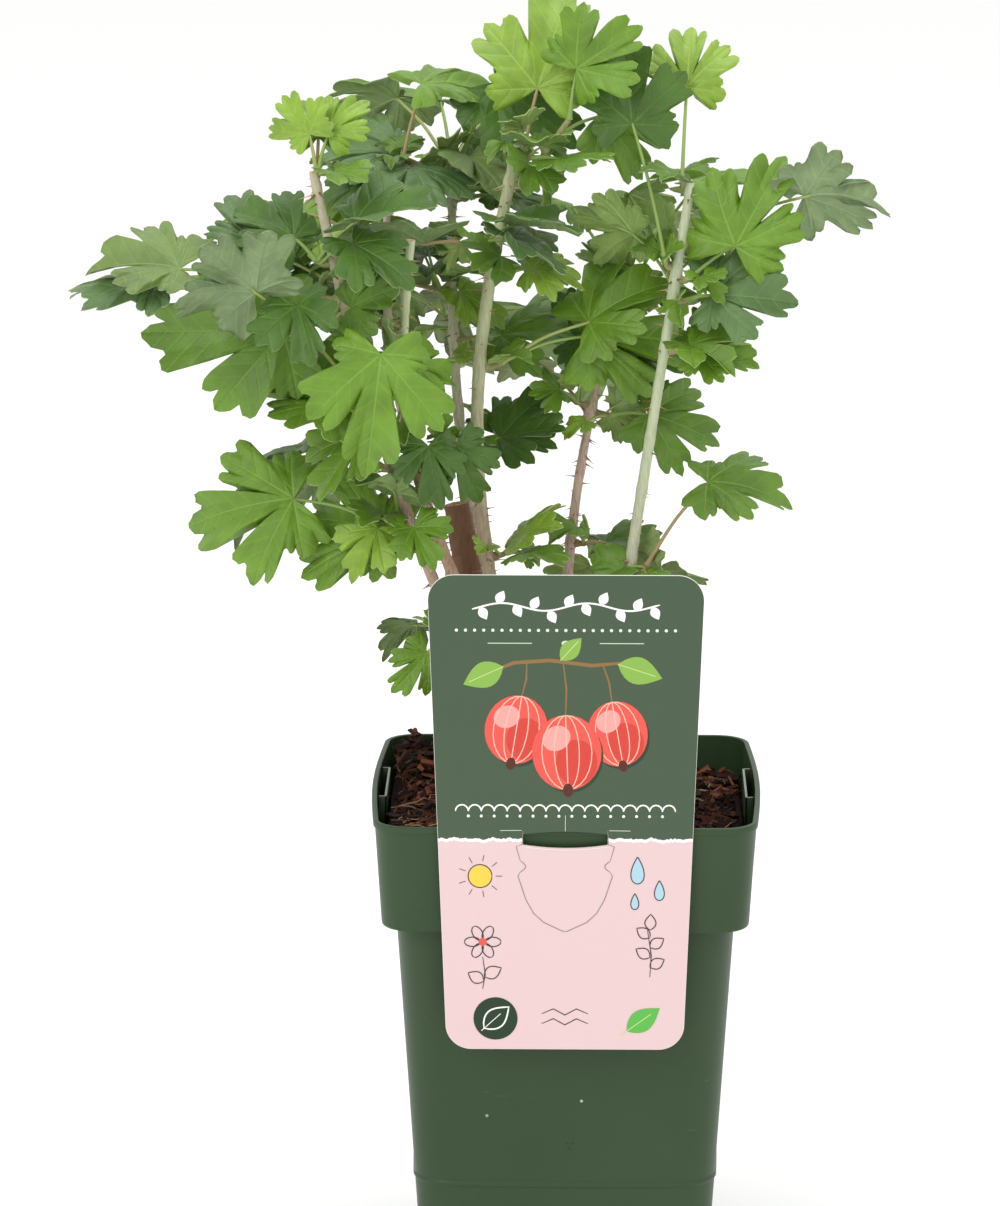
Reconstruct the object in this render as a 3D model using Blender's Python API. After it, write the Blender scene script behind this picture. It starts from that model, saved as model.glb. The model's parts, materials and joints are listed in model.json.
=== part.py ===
"""Gooseberry bush growing in a square pot, with a hanging plant card, as separate solids.

The origin is the middle of the pot's flat underside, +Z is up and -Y is the side with the card.
Sizes are named in millimetres and turned into Blender's metres when a mesh is made.
"""
import collections
import math
import random

import bmesh
import bpy
from mathutils import Matrix, Vector
from mathutils.bvhtree import BVHTree

MM = 0.001
GAP = 0.3  # clearance between pieces that touch
FULL_TURN = 2 * math.pi
UP = Vector((0, 0, 1))

# Pot
POT_HEIGHT = 200.0
POT_WALL = 1.4
POT_FLOOR = 2.2
RIM_HALF = 75.0
RIM_CORNER = 13.0
RIM_BOW_SIDES = 2.4
RIM_BOW_FRONT = 1.0
LIP_DEPTH = 2.6
LIP_EDGE = 0.4
COLLAR_TOP_HALF = 74.3
COLLAR_FOOT_HALF = 71.9
COLLAR_FOOT = 157.0
BODY_TOP_HALF = 66.4
BODY_FOOT_HALF = 56.6
BODY_CORNER = 16.0
BODY_BOW = 0.9
COLLAR_EDGE = 2.0  # the collar's foot stands in by COLLAR_UNDERCUT below this height
COLLAR_UNDERCUT = 1.0
LEDGE_FOOT = 155.0
SEAM_HEIGHT = 50.0
SEAM_HALF = 1.2
SEAM_STEP = 0.6
FOOT_ROUND = 2.5
CORNER_STEPS = 3
SIDE_STEPS = 1
DRAIN_RADIUS = 5.5
DRAIN_OFFSET = 34.0
DRAIN_SIDES = 8

# Card pockets moulded on the inside of the two side walls
POCKET_LENGTH = 46.0
POCKET_DEPTH = 5.0
POCKET_TOP = 199.0
POCKET_FOOT = 186.0
POCKET_WALL = 1.0

# Growing medium
MEDIUM_LEVEL = 190.0
MEDIUM_SLOPE = 0.075  # higher on the left, lower on the right
MEDIUM_LUMPS = 2.4
MEDIUM_FLAT = 36.0  # radius of the level middle that the stems stand on
MEDIUM_BLEND = 15.0
MEDIUM_SHOULDER = 8.0
MEDIUM_SHRINK = 1.0  # how far the filling stands off the wall near its top
MEDIUM_FRONT_DIP = 4.5
MEDIUM_DIP_START = 55.0
MEDIUM_DIP_RUN = 12.0
MEDIUM_RINGS = (0.97, 0.86, 0.73, 0.6, 0.46, 0.28)

# Card
CARD_TOP = 301.0
CARD_FOOT = 111.5
CARD_TOP_HALF = 53.0
CARD_FOOT_HALF = 46.5
CARD_CORNER = 10.0
CARD_CORNER_STEPS = 4
CARD_THICK = 0.8
CARD_Y = -77.1
CARD_LIFT = 0.35  # how high the tab passes over the rim
SLIT_TOP = 199.4
SLIT_FOOT = 192.8
SLIT_HALF = 16.4
TAB_HALF = 15.0
TAB_FOOT = 190.6
TAB_INNER_Y = -72.4

# Main stem: leans left from its flared foot to the sawn stub between the canes
STEM_FOOT = (-14.0, 4.0)
STEM_TIP = (-44.0, 8.0, 311.0)
STEM_FOOT_RADIUS = 6.8
STEM_TIP_RADIUS = 4.9
STEM_BOW = (-3, 0)
STEM_FLARE = 5.0
STEM_FLARE_HEIGHT = 7.0
STEM_FLARE_RINGS = (0.25, 0.55)
LIMB_SIDES = 6
RING_SPACING = 17.0
ELBOW_KNEE = (1.1, 1.5)  # out and up from the stem's side, in cane radii
ELBOW_END = (1.5, 4.0)
SUCKER_SWELL = 1.35

# Canes that branch off the main stem: height and heading of the branching, tip, sideways bow, radii
Branch = collections.namedtuple("Branch", "name height heading tip bow foot_radius tip_radius")
BRANCHES = (
    Branch("cane_left", 234, -165, (-97, -48, 452), (-6, -4), 2.8, 1.9),
    Branch("cane_left_middle", 258, -118, (-60, -44, 425), (-12, -9), 3.0, 1.9),
    Branch("cane_left_back", 278, 170, (-71, 30, 440), (-10, 0), 2.4, 1.6),
    Branch("cane_back", 240, 95, (-46, 46, 445), (-6, 1), 2.7, 1.8),
    Branch("cane_centre", 224, -75, (-19, 4, 457), (-15, 0), 3.4, 2.4),
)

# Canes that rise from the growing medium: foot, tip, sideways bow, radii
Sucker = collections.namedtuple("Sucker", "name foot tip bow foot_radius tip_radius")
SUCKERS = (
    Sucker("cane_right_middle", (0, 18), (21, 42, 395), (-9, -6), 2.9, 1.6),
    Sucker("cane_right", (10, -6), (48, -6, 442), (0, 0), 2.8, 2.0),
)

# Leaf blade: five veins fan out from the stalk, as degrees off the midrib and share of the length
VEINS = ((-96, 0.52), (-46, 0.84), (0, 1.0), (46, 0.84), (96, 0.52))
SHOULDERED = (False, True, True, True, False)
SHOULDER_TURN = 14.0
SHOULDER_SHARE = 0.85
NOTCH_SHARE = 0.5  # how near the stalk the notches between the lobes come
VEIN_MIDDLE = 0.5
WIDTH_TO_LENGTH = 1.36
BLADE_THICK = 0.8
BLADE_CREASE = 0.16
STALK_RADIUS = 0.85
STALK_SIDES = 3
STALK_STEPS = 3
STALK_ARCH = 0.12
STALK_SUNK = 2.8
STALK_DROP = 0.45
SPUR_RADIUS = 1.35
SPUR_TAPER = 0.8
SPUR_KNEE = 1.8
SPUR_SIDES = 5

# How the leaves of one mass differ, and how they look for a clear place
BLADE_SIZES = (0.88, 1.1)
BLADE_FOLDS = (0.08, 0.32)
BLADE_ARCHES = (0.12, 0.34)
HEADING_SPREAD = 12.0
RISE_SPREAD = 8.0
PITCH_SPREAD = 12.0
TWIST_SPREAD = 16.0
STALK_SPREAD = 0.2
FACE_SPREAD = 0.16
ROOT_SPREAD = 0.6
FIRST_FREEDOM = 0.35
LAST_FREEDOM = 2.0
CLEARANCE = 0.9
TRIES = 30

# The space that the crown keeps to
CROWN_LOW = Vector((-204.0, -140.0, 222.0))
CROWN_HIGH = Vector((124.0, 150.0, 514.0))

# Masses of foliage. Each grows on a spur: the cane and height it leaves, the heading and rise of its
# leaf stalks with how far they fan out and lift from first to last, the length of spur and stalk, the
# rise of a blade's midrib, the number of leaves, the width of a blade, and how far its upper side leans
# from level (0) to upright (1) towards the heading that it faces.
Shoot = collections.namedtuple(
    "Shoot", "name cane height heading fan rise lift spur stalk pitch leaves blade lean facing"
)
SHOOTS = (
    Shoot("leaves_left_pale", "cane_left", 366, 212, 0, 46, 0, 8, 54, 50, 1, 56, 0.80, 90),
    Shoot("leaves_left_big", "cane_left", 394, 196, 0, -12, 0, 6, 20, -12, 1, 70, 0.75, -85),
    Shoot("leaves_left_far", "cane_left", 402, 183, 32, 11, 20, 40, 31, 16, 3, 58, 0.25, -90),
    Shoot("leaves_left_upper", "cane_left", 416, 184, 40, 26, -40, 5, 12, 12, 2, 36, 0.50, -90),
    Shoot("leaves_left_top", "cane_left", 446, 90, 140, 72, 0, 5, 16, 50, 3, 28, 0.60, -90),
    Shoot("leaves_left_strip", "cane_left_middle", 346, 178, 30, 28, 10, 5, 24, 28, 2, 58, 0.20, -90),
    Shoot("leaves_left_low", "cane_left", 306, 182, 0, 17, 0, 8, 37, -14, 1, 66, 0.65, -90),
    Shoot("leaves_left_foot", "cane_left", 298, 186, 0, 26, 0, 5, 10, 10, 1, 54, 0.60, -100),
    Shoot("leaves_centre_long", "cane_centre", 414, 190, 0, 12, 0, 6, 18, 2, 1, 62, 0.28, 90),
    Shoot("leaves_middle_droop", "cane_left_middle", 372, -102, 0, 24, 0, 8, 32, -66, 1, 58, 0.90, -90),
    Shoot("leaves_middle_dark", "cane_back", 392, 192, 10, 10, 10, 6, 22, 2, 2, 42, 0.40, -90),
    Shoot("leaves_middle_low", "cane_left_middle", 336, -50, 50, 30, 0, 6, 14, -66, 2, 34, 0.90, -90),
    Shoot("leaves_left_back_top", "cane_left_back", 436, 20, 0, 74, 0, 6, 39, 10, 1, 44, 0.35, -90),
    Shoot("leaves_back_left_top", "cane_back", 436, 186, 26, 14, -24, 5, 18, 8, 3, 46, 0.40, -90),
    Shoot("leaves_back_top", "cane_back", 441, -50, 0, 66, 0, 6, 32, -30, 1, 56, 0.70, -80),
    Shoot("leaves_back_strip", "cane_back", 428, -8, 0, 6, 0, 5, 10, 8, 1, 36, 0.15, -90),
    Shoot("leaves_centre_top", "cane_centre", 450, 50, 0, 72, 0, 5, 24, 74, 1, 50, 0.80, -90),
    Shoot("leaves_centre_shoot", "cane_centre", 440, 4, 50, 54, -50, 34, 20, 16, 2, 52, 0.70, -90),
    Shoot("leaves_centre_strip", "cane_centre", 451, -30, 0, 4, 0, 5, 12, 5, 1, 34, 0.15, -90),
    Shoot("leaves_centre_small", "cane_centre", 405, 6, 60, 14, 0, 4, 12, 0, 2, 26, 0.40, -90),
    Shoot("leaves_centre_right", "cane_centre", 368, 0, -14, 24, -28, 6, 34, 24, 2, 52, 0.55, -90),
    Shoot("leaves_centre_west", "cane_back", 372, -10, 0, 10, 0, 5, 12, 15, 1, 44, 0.40, -90),
    Shoot("leaves_centre_low", "cane_back", 330, -8, 40, 20, 0, 5, 10, 20, 2, 44, 0.40, -90),
    Shoot("leaves_centre_foot", "cane_centre", 292, -4, 60, 20, 40, 5, 8, 30, 2, 34, 0.20, -90),
    Shoot("leaves_right_palmate", "cane_right", 408, 160, 0, 76, 0, 6, 50, 78, 1, 50, 0.80, -90),
    Shoot("leaves_right_top", "cane_right", 438, 120, 76, 66, -10, 6, 38, 70, 2, 48, 0.75, -90),
    Shoot("leaves_right_level", "cane_right_middle", 390, 10, 0, 52, 0, 6, 46, 20, 1, 42, 0.12, -90),
    Shoot("leaves_right_far", "cane_right", 404, -16, 0, 36, 0, 6, 22, 64, 1, 50, 0.70, -90),
    Shoot("leaves_right_tip", "cane_right", 418, 8, 0, 22, 0, 12, 35, 18, 1, 46, 0.50, 90),
    Shoot("leaves_right_glossy", "cane_right", 396, -22, 0, 12, 0, 4, 10, 2, 1, 48, 0.60, -90),
    Shoot("leaves_right_pale", "cane_right", 376, -4, 50, 6, 0, 4, 8, 4, 2, 36, 0.45, -90),
    Shoot("leaves_middle_right_dark", "cane_right_middle", 372, -60, 200, 4, -20, 5, 12, 0, 3, 34, 0.60, -90),
    Shoot("leaves_middle_right_small", "cane_right_middle", 346, 180, 60, 20, 20, 4, 12, 0, 2, 22, 0.50, -90),
    Shoot("leaves_right_droop", "cane_right_middle", 343, -10, 0, 6, 0, 6, 16, -8, 1, 54, 0.60, -90),
    Shoot("leaves_right_low", "cane_right", 287, -6, 0, 52, 0, 6, 44, 8, 1, 42, 0.40, -90),
    Shoot("leaves_right_foot", "cane_right_middle", 292, -10, 0, 2, 0, 4, 8, 8, 1, 34, 0.15, -90),
    Shoot("leaves_low", "cane_left", 262, 224, 0, -30, 0, 5, 8, -40, 1, 27, 0.80, -90),
    Shoot("leaves_back_a", "cane_back", 250, 105, 70, -4, 10, 8, 40, -24, 2, 50, 0.55, 105),
    Shoot("leaves_back_b", "cane_back", 345, 118, 56, 12, 10, 10, 46, -20, 2, 52, 0.55, 120),
    Shoot("leaves_back_c", "cane_back", 375, 85, 60, 6, 10, 12, 46, -24, 3, 52, 0.55, 80),
    Shoot("leaves_back_d", "cane_back", 436, 95, 80, 36, 10, 10, 40, -10, 3, 50, 0.50, 100),
    Shoot("leaves_back_left_a", "cane_left_back", 322, 150, 60, 5, 10, 10, 44, -20, 3, 52, 0.55, 160),
    Shoot("leaves_back_left_b", "cane_left_back", 380, 140, 60, 20, 10, 12, 46, -16, 3, 54, 0.55, 140),
    Shoot("leaves_back_left_c", "cane_left_back", 412, 150, 60, 14, 10, 10, 36, -10, 2, 50, 0.50, 165),
    Shoot("leaves_back_right_a", "cane_right_middle", 254, 84, 60, -4, 10, 6, 36, -20, 2, 44, 0.60, 60),
    Shoot("leaves_back_right_b", "cane_right_middle", 342, 100, 50, 14, 10, 8, 44, -20, 2, 50, 0.55, 90),
    Shoot("leaves_back_right_c", "cane_right", 292, 96, 50, -12, 10, 10, 34, -24, 2, 46, 0.55, 60),
    Shoot("leaves_back_right_d", "cane_right", 400, 98, 56, 22, 10, 10, 44, -12, 3, 50, 0.50, 70),
    Shoot("leaves_back_right_e", "cane_right_middle", 390, 90, 80, 40, 10, 8, 40, -10, 2, 50, 0.45, 90),
)

Limb = collections.namedtuple("Limb", "points radii normals")
BladeForm = collections.namedtuple("BladeForm", "length fold arch")
Leaf = collections.namedtuple("Leaf", "frame form stalk")


def clear_scene():
    """Remove every object, mesh and material that the scene starts with."""
    for item in list(bpy.data.objects):
        bpy.data.objects.remove(item, do_unlink=True)
    for mesh in list(bpy.data.meshes):
        bpy.data.meshes.remove(mesh)
    for old in list(bpy.data.materials):
        bpy.data.materials.remove(old)


def make_material(name, colour, roughness):
    """A plain Principled finish; the colour is linear red, green and blue."""
    material = bpy.data.materials.new(name)
    material.use_nodes = True
    shader = material.node_tree.nodes["Principled BSDF"]
    shader.inputs["Base Color"].default_value = (*colour, 1)
    shader.inputs["Roughness"].default_value = roughness
    shader.inputs["Metallic"].default_value = 0.0
    return material


def add_object(name, bm, material):
    """Turn a bmesh in millimetres into an object in metres with its faces pointing out."""
    bmesh.ops.recalc_face_normals(bm, faces=bm.faces)
    bmesh.ops.scale(bm, vec=(MM, MM, MM), verts=bm.verts)
    mesh = bpy.data.meshes.new(name)
    bm.to_mesh(mesh)
    bm.free()
    item = bpy.data.objects.new(name, mesh)
    if material:
        mesh.materials.append(material)
    bpy.context.scene.collection.objects.link(item)
    return item


def add_loft(bm, rings):
    """Skin a closed tube through rings of equal point counts and cap both of its ends."""
    loops = [[bm.verts.new(point) for point in ring] for ring in rings]
    bm.faces.new(loops[0][::-1])
    for lower, upper in zip(loops, loops[1:]):
        for index, vertex in enumerate(lower):
            before = index - 1
            bm.faces.new((lower[before], vertex, upper[index], upper[before]))
    bm.faces.new(loops[-1])


def add_box(bm, low, high):
    """A box between two corners."""
    middle = (Vector(low) + Vector(high)) / 2
    size = Vector(high) - Vector(low)
    placed = Matrix.Translation(middle) @ Matrix.Diagonal((*size, 1))
    bmesh.ops.create_cube(bm, size=1, matrix=placed)


def boolean(item, other, operation):
    """Cut or join another object into this one, then remove the other."""
    modifier = item.modifiers.new(operation.lower(), "BOOLEAN")
    modifier.operation = operation
    modifier.solver = "EXACT"
    modifier.object = other
    freeze_modifiers(item)
    bpy.data.objects.remove(other, do_unlink=True)


def freeze_modifiers(item):
    """Replace an object's mesh with what its modifiers make of it."""
    graph = bpy.context.evaluated_depsgraph_get()
    baked = bpy.data.meshes.new_from_object(item.evaluated_get(graph))
    item.modifiers.clear()
    item.data = baked


def square_ring(height, half, corner, bow_sides=0.0, bow_front=0.0):
    """Points round a square with rounded corners, whose walls bow outward between them."""
    ring = []
    for quarter in range(4):
        turn = Matrix.Rotation(quarter * math.pi / 2, 3, "Z")
        bow = bow_sides if quarter % 2 else bow_front
        centre = half - corner
        for step in range(CORNER_STEPS + 1):
            angle = math.pi / 2 * step / CORNER_STEPS
            spot = Vector((centre + corner * math.cos(angle), centre + corner * math.sin(angle), height))
            ring.append(turn @ spot)
        for step in range(1, SIDE_STEPS + 1):
            share = step / (SIDE_STEPS + 1)
            spot = Vector((centre * (1 - 2 * share), half + bow * math.sin(math.pi * share), height))
            ring.append(turn @ spot)
    return ring


def wall_ring(height, inset=0.0):
    """The pot wall's outline at a height, moved in by an inset."""
    if height >= COLLAR_FOOT:
        share = (height - COLLAR_FOOT) / (POT_HEIGHT - LIP_DEPTH - COLLAR_FOOT)
        half = COLLAR_FOOT_HALF + (COLLAR_TOP_HALF - COLLAR_FOOT_HALF) * min(share, 1)
        return square_ring(height, half - inset, RIM_CORNER - inset,
                           RIM_BOW_SIDES * min(share, 1), RIM_BOW_FRONT)
    share = height / COLLAR_FOOT
    half = BODY_FOOT_HALF + (BODY_TOP_HALF - BODY_FOOT_HALF) * share
    return square_ring(height, half - inset, BODY_CORNER - inset, BODY_BOW, BODY_BOW)


def grown(ring, amount):
    """The same outline a little larger, for a lip or a moulding seam."""
    return [spot + Vector((spot.x, spot.y, 0)).normalized() * amount for spot in ring]


def build_pot():
    """Thin-walled square pot: tapering body, stepped collar, lip, card pockets and drain holes."""
    bm = bmesh.new()
    lip = POT_HEIGHT - LIP_DEPTH
    lip_reach = RIM_HALF - COLLAR_TOP_HALF
    outside = [
        square_ring(0, BODY_FOOT_HALF - FOOT_ROUND, BODY_CORNER - FOOT_ROUND),
        wall_ring(FOOT_ROUND),
        wall_ring(SEAM_HEIGHT - SEAM_HALF),
        grown(wall_ring(SEAM_HEIGHT), SEAM_STEP),
        wall_ring(SEAM_HEIGHT + SEAM_HALF),
        wall_ring(LEDGE_FOOT),
        wall_ring(COLLAR_FOOT, COLLAR_UNDERCUT),
        wall_ring(COLLAR_FOOT + COLLAR_EDGE),
        wall_ring(lip),
        grown(wall_ring(lip + LIP_EDGE), lip_reach),
        grown(wall_ring(POT_HEIGHT - LIP_EDGE), lip_reach),
        wall_ring(POT_HEIGHT),
    ]
    inside = [
        wall_ring(POT_HEIGHT, POT_WALL),
        wall_ring(lip, POT_WALL),
        wall_ring(MEDIUM_LEVEL - MEDIUM_SHOULDER, POT_WALL),
        wall_ring(COLLAR_FOOT + COLLAR_EDGE + POT_WALL, POT_WALL),
        wall_ring(LEDGE_FOOT + POT_WALL, POT_WALL),
        wall_ring(SEAM_HEIGHT, POT_WALL),
        wall_ring(POT_FLOOR + FOOT_ROUND, POT_WALL),
        square_ring(POT_FLOOR, BODY_FOOT_HALF - FOOT_ROUND - POT_WALL, BODY_CORNER - FOOT_ROUND - POT_WALL),
    ]
    add_loft(bm, outside + inside)
    pot = add_object("pot", bm, make_material("green_pot_plastic", (0.055, 0.095, 0.045), 0.45))
    for side in (-1, 1):
        boolean(pot, pocket(side), "UNION")
    for quarter in range(4):
        bm = bmesh.new()
        turn = Matrix.Rotation(math.pi / 2 * quarter, 4, "Z")
        spot = Matrix.Translation((DRAIN_OFFSET, DRAIN_OFFSET, POT_FLOOR / 2))
        bmesh.ops.create_cone(bm, cap_ends=True, segments=DRAIN_SIDES, radius1=DRAIN_RADIUS,
                              radius2=DRAIN_RADIUS, depth=POT_FLOOR * 3, matrix=turn @ spot)
        boolean(pot, add_object("drain_cutter", bm, None), "DIFFERENCE")
    return pot


def pocket(side):
    """A card pocket: a thin plate that stands off the inner wall on two end plates."""
    bm = bmesh.new()
    half = POCKET_LENGTH / 2
    face = RIM_HALF + RIM_BOW_SIDES - POT_WALL - POCKET_DEPTH
    back = RIM_HALF - POT_WALL / 2
    profile = [(back, -half), (back, -half + POCKET_WALL), (face + POCKET_WALL, -half + POCKET_WALL),
               (face + POCKET_WALL, half - POCKET_WALL), (back, half - POCKET_WALL), (back, half),
               (face, half), (face, -half)]
    add_loft(bm, [[(side * x, y, z) for x, y in profile] for z in (POCKET_FOOT, POCKET_TOP)])
    return add_object("pocket_piece", bm, None)


def medium_height(x, y, rng):
    """Height of the growing medium's top: level round the stems, lumpy and sloping towards the walls."""
    away = math.hypot(x, y)
    blend = min(max((away - MEDIUM_FLAT) / MEDIUM_BLEND, 0), 1)
    dip = MEDIUM_FRONT_DIP * min(max((-y - MEDIUM_DIP_START) / MEDIUM_DIP_RUN, 0), 1)
    return MEDIUM_LEVEL - blend * (MEDIUM_SLOPE * x + rng.uniform(-1, 1) * MEDIUM_LUMPS) - dip


def build_medium():
    """The filling of bark and peat, which fits the pot's inside with a small gap."""
    rng = random.Random("growing medium")
    inset = POT_WALL + GAP
    foot_corner = BODY_CORNER - FOOT_ROUND - inset
    rings = [
        square_ring(POT_FLOOR + GAP, BODY_FOOT_HALF - FOOT_ROUND - inset - GAP, foot_corner),
        wall_ring(POT_FLOOR + FOOT_ROUND + GAP, inset + GAP),
        wall_ring(SEAM_HEIGHT, inset),
        wall_ring(LEDGE_FOOT + POT_WALL + GAP, inset),
        wall_ring(COLLAR_FOOT + COLLAR_EDGE + POT_WALL + GAP, inset),
    ]
    rim = wall_ring(MEDIUM_LEVEL - MEDIUM_SHOULDER, inset + MEDIUM_SHRINK)
    rings.append(rim)
    for share in MEDIUM_RINGS:
        ring = []
        for spot in rim:
            x, y = spot.x * share, spot.y * share
            ring.append(Vector((x, y, medium_height(x, y, rng))))
        rings.append(ring)
    bm = bmesh.new()
    add_loft(bm, rings)
    medium = add_object("growing_medium", bm, make_material("bark_and_peat", (0.035, 0.014, 0.008), 0.95))
    bm = bmesh.new()
    room = POCKET_DEPTH + POCKET_WALL + GAP
    inner = RIM_HALF + RIM_BOW_SIDES - POT_WALL - room
    for low_x, high_x in ((-RIM_HALF * 2, -inner), (inner, RIM_HALF * 2)):
        reach = POCKET_LENGTH / 2 + GAP
        add_box(bm, (low_x, -reach, POCKET_FOOT - GAP), (high_x, reach, POT_HEIGHT * 2))
    boolean(medium, add_object("pocket_cutter", bm, None), "DIFFERENCE")
    return medium


def card_outline():
    """The card's tapering outline with four round corners, anticlockwise seen from the front."""
    corners = (
        (CARD_FOOT_HALF, CARD_FOOT, -90), (CARD_TOP_HALF, CARD_TOP, 0),
        (-CARD_TOP_HALF, CARD_TOP, 90), (-CARD_FOOT_HALF, CARD_FOOT, 180),
    )
    outline = []
    for x, z, start in corners:
        centre_x = x - math.copysign(CARD_CORNER, x)
        centre_z = z + (CARD_CORNER if z < POT_HEIGHT else -CARD_CORNER)
        for step in range(CARD_CORNER_STEPS + 1):
            angle = math.radians(start + 90 * step / CARD_CORNER_STEPS)
            outline.append((centre_x + CARD_CORNER * math.cos(angle), centre_z + CARD_CORNER * math.sin(angle)))
    return outline


def build_card():
    """The hanging card: a thin plate with a slit, and a tab bent back over the rim and down inside it."""
    bm = bmesh.new()
    front, back = CARD_Y - CARD_THICK / 2, CARD_Y + CARD_THICK / 2
    outline = card_outline()
    add_loft(bm, [[(x, y, z) for x, z in outline] for y in (back, front)])
    card = add_object("plant_card", bm, make_material("printed_card", (0.55, 0.40, 0.42), 0.4))
    bm = bmesh.new()
    add_box(bm, (-SLIT_HALF, front - 1, SLIT_FOOT), (SLIT_HALF, back + 1, SLIT_TOP))
    boolean(card, add_object("slit_cutter", bm, None), "DIFFERENCE")
    over = POT_HEIGHT + CARD_LIFT
    profile = [
        (CARD_Y, over), (TAB_INNER_Y - CARD_THICK, over), (TAB_INNER_Y - CARD_THICK, TAB_FOOT),
        (TAB_INNER_Y, TAB_FOOT), (TAB_INNER_Y, over + CARD_THICK), (CARD_Y, over + CARD_THICK),
    ]
    bm = bmesh.new()
    add_loft(bm, [[(x, y, z) for y, z in profile] for x in (-TAB_HALF, TAB_HALF)])
    boolean(card, add_object("tab_piece", bm, None), "UNION")
    return card


def ring_round(centre, radius, normal, sides, start=None):
    """A ring of points square to a direction; it starts on the side nearest to the start direction."""
    across = start if start is not None else Vector((1, 0, 0))
    across = across - normal * across.dot(normal)
    across.normalize()
    other = normal.cross(across)
    angles = (FULL_TURN * index / sides for index in range(sides))
    return [centre + radius * (across * math.cos(a) + other * math.sin(a)) for a in angles]


def tube_rings(limb, sides, start=None):
    """The rings of a limb, each started where the last one started, so that the tube doesn't twist."""
    rings = []
    for centre, radius, normal in zip(limb.points, limb.radii, limb.normals):
        ring = ring_round(centre, radius, normal, sides, start)
        start = ring[0] - centre
        rings.append(ring)
    return rings


def path_normals(points, first=None):
    """The direction of travel at each point of a path; the first can be given."""
    normals = []
    for index, _ in enumerate(points):
        before = points[max(index - 1, 0)]
        after = points[min(index + 1, len(points) - 1)]
        normals.append((after - before).normalized())
    if first is not None:
        normals[0] = first.normalized()
    return normals


def bowed_path(foot, tip, bow):
    """Points from foot to tip on a line that bows sideways by the given x and y in its middle."""
    count = max(2, round((tip - foot).length / RING_SPACING))
    sideways = Vector((bow[0], bow[1], 0))
    return [foot.lerp(tip, step / count) + sideways * math.sin(math.pi * step / count)
            for step in range(count + 1)]


def tapered(foot_radius, tip_radius, count):
    """Evenly falling radii."""
    return [foot_radius + (tip_radius - foot_radius) * step / (count - 1) for step in range(count)]


def heading_vector(heading, rise=0.0):
    """Unit direction from a compass angle, anticlockwise from +X, and a rise, both in degrees."""
    turn, lift = math.radians(heading), math.radians(rise)
    return Vector((math.cos(turn) * math.cos(lift), math.sin(turn) * math.cos(lift), math.sin(lift)))


def limb_at(limb, height):
    """Centre, radius and direction of a limb where it passes a height."""
    for index in range(len(limb.points) - 1):
        lower, upper = limb.points[index], limb.points[index + 1]
        if upper.z >= height or index == len(limb.points) - 2:
            share = min(max((height - lower.z) / (upper.z - lower.z), 0), 1)
            radius = limb.radii[index] * (1 - share) + limb.radii[index + 1] * share
            return lower.lerp(upper, share), radius, (upper - lower).normalized()
    raise ValueError(f"no limb at {height}")


def main_stem():
    """The short old stem: flat cut and flared at its foot, sawn off at its top."""
    foot = Vector((*STEM_FOOT, MEDIUM_LEVEL + GAP))
    points = bowed_path(foot, Vector(STEM_TIP), STEM_BOW)
    points[1:1] = [foot.lerp(points[1], share) for share in STEM_FLARE_RINGS]
    radii = []
    for point in points:
        share = (point.z - foot.z) / (STEM_TIP[2] - foot.z)
        flare = STEM_FLARE * math.exp(-(point.z - foot.z) / STEM_FLARE_HEIGHT)
        radii.append(STEM_FOOT_RADIUS + (STEM_TIP_RADIUS - STEM_FOOT_RADIUS) * share + flare)
    return Limb(points, radii, path_normals(points, UP))


def branch_cane(branch, stem):
    """A cane that leaves the main stem's side in a short elbow and bows up to its cut tip."""
    centre, radius, along = limb_at(stem, branch.height)
    outward = heading_vector(branch.heading)
    outward = (outward - along * outward.dot(along)).normalized()
    thick = branch.foot_radius
    start = centre + outward * (radius + GAP)
    knee, bend = (start + (outward * out + UP * up) * thick for out, up in (ELBOW_KNEE, ELBOW_END))
    points = [start, knee] + bowed_path(bend, Vector(branch.tip), branch.bow)
    return Limb(points, tapered(thick, branch.tip_radius, len(points)), path_normals(points, outward))


def sucker_cane(sucker):
    """A cane that stands on the growing medium with a flat cut foot."""
    foot = Vector((*sucker.foot, MEDIUM_LEVEL + GAP))
    points = bowed_path(foot, Vector(sucker.tip), sucker.bow)
    radii = tapered(sucker.foot_radius, sucker.tip_radius, len(points))
    radii[0] *= SUCKER_SWELL
    return Limb(points, radii, path_normals(points, UP))


def all_limbs():
    """Every stem and cane by name."""
    limbs = {"main_stem": main_stem()}
    for branch in BRANCHES:
        limbs[branch.name] = branch_cane(branch, limbs["main_stem"])
    for sucker in SUCKERS:
        limbs[sucker.name] = sucker_cane(sucker)
    return limbs


def blade_plan():
    """The blade's flat outline and vein points at unit length, and the triangles between them."""
    points = [Vector((0, 0))]
    faces = []

    def place(degrees, share):
        angle = math.radians(degrees)
        points.append(Vector((math.sin(angle), math.cos(angle))) * share)
        return len(points) - 1

    base = 0
    notch = base
    for number, (degrees, share) in enumerate(VEINS):
        last = number == len(VEINS) - 1
        following = base if last else place((degrees + VEINS[number + 1][0]) / 2, NOTCH_SHARE)
        tip = place(degrees, share)
        if SHOULDERED[number]:
            middle = place(degrees, share * VEIN_MIDDLE)
            left = place(degrees - SHOULDER_TURN, share * SHOULDER_SHARE)
            right = place(degrees + SHOULDER_TURN, share * SHOULDER_SHARE)
            faces += [(base, notch, middle), (base, middle, following), (middle, notch, left),
                      (middle, left, tip), (middle, tip, right), (middle, right, following)]
        elif notch == base:
            faces.append((base, tip, following))
        elif following == base:
            faces.append((base, notch, tip))
        notch = following
    return points, faces


BLADE_POINTS, BLADE_FACES = blade_plan()


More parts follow.
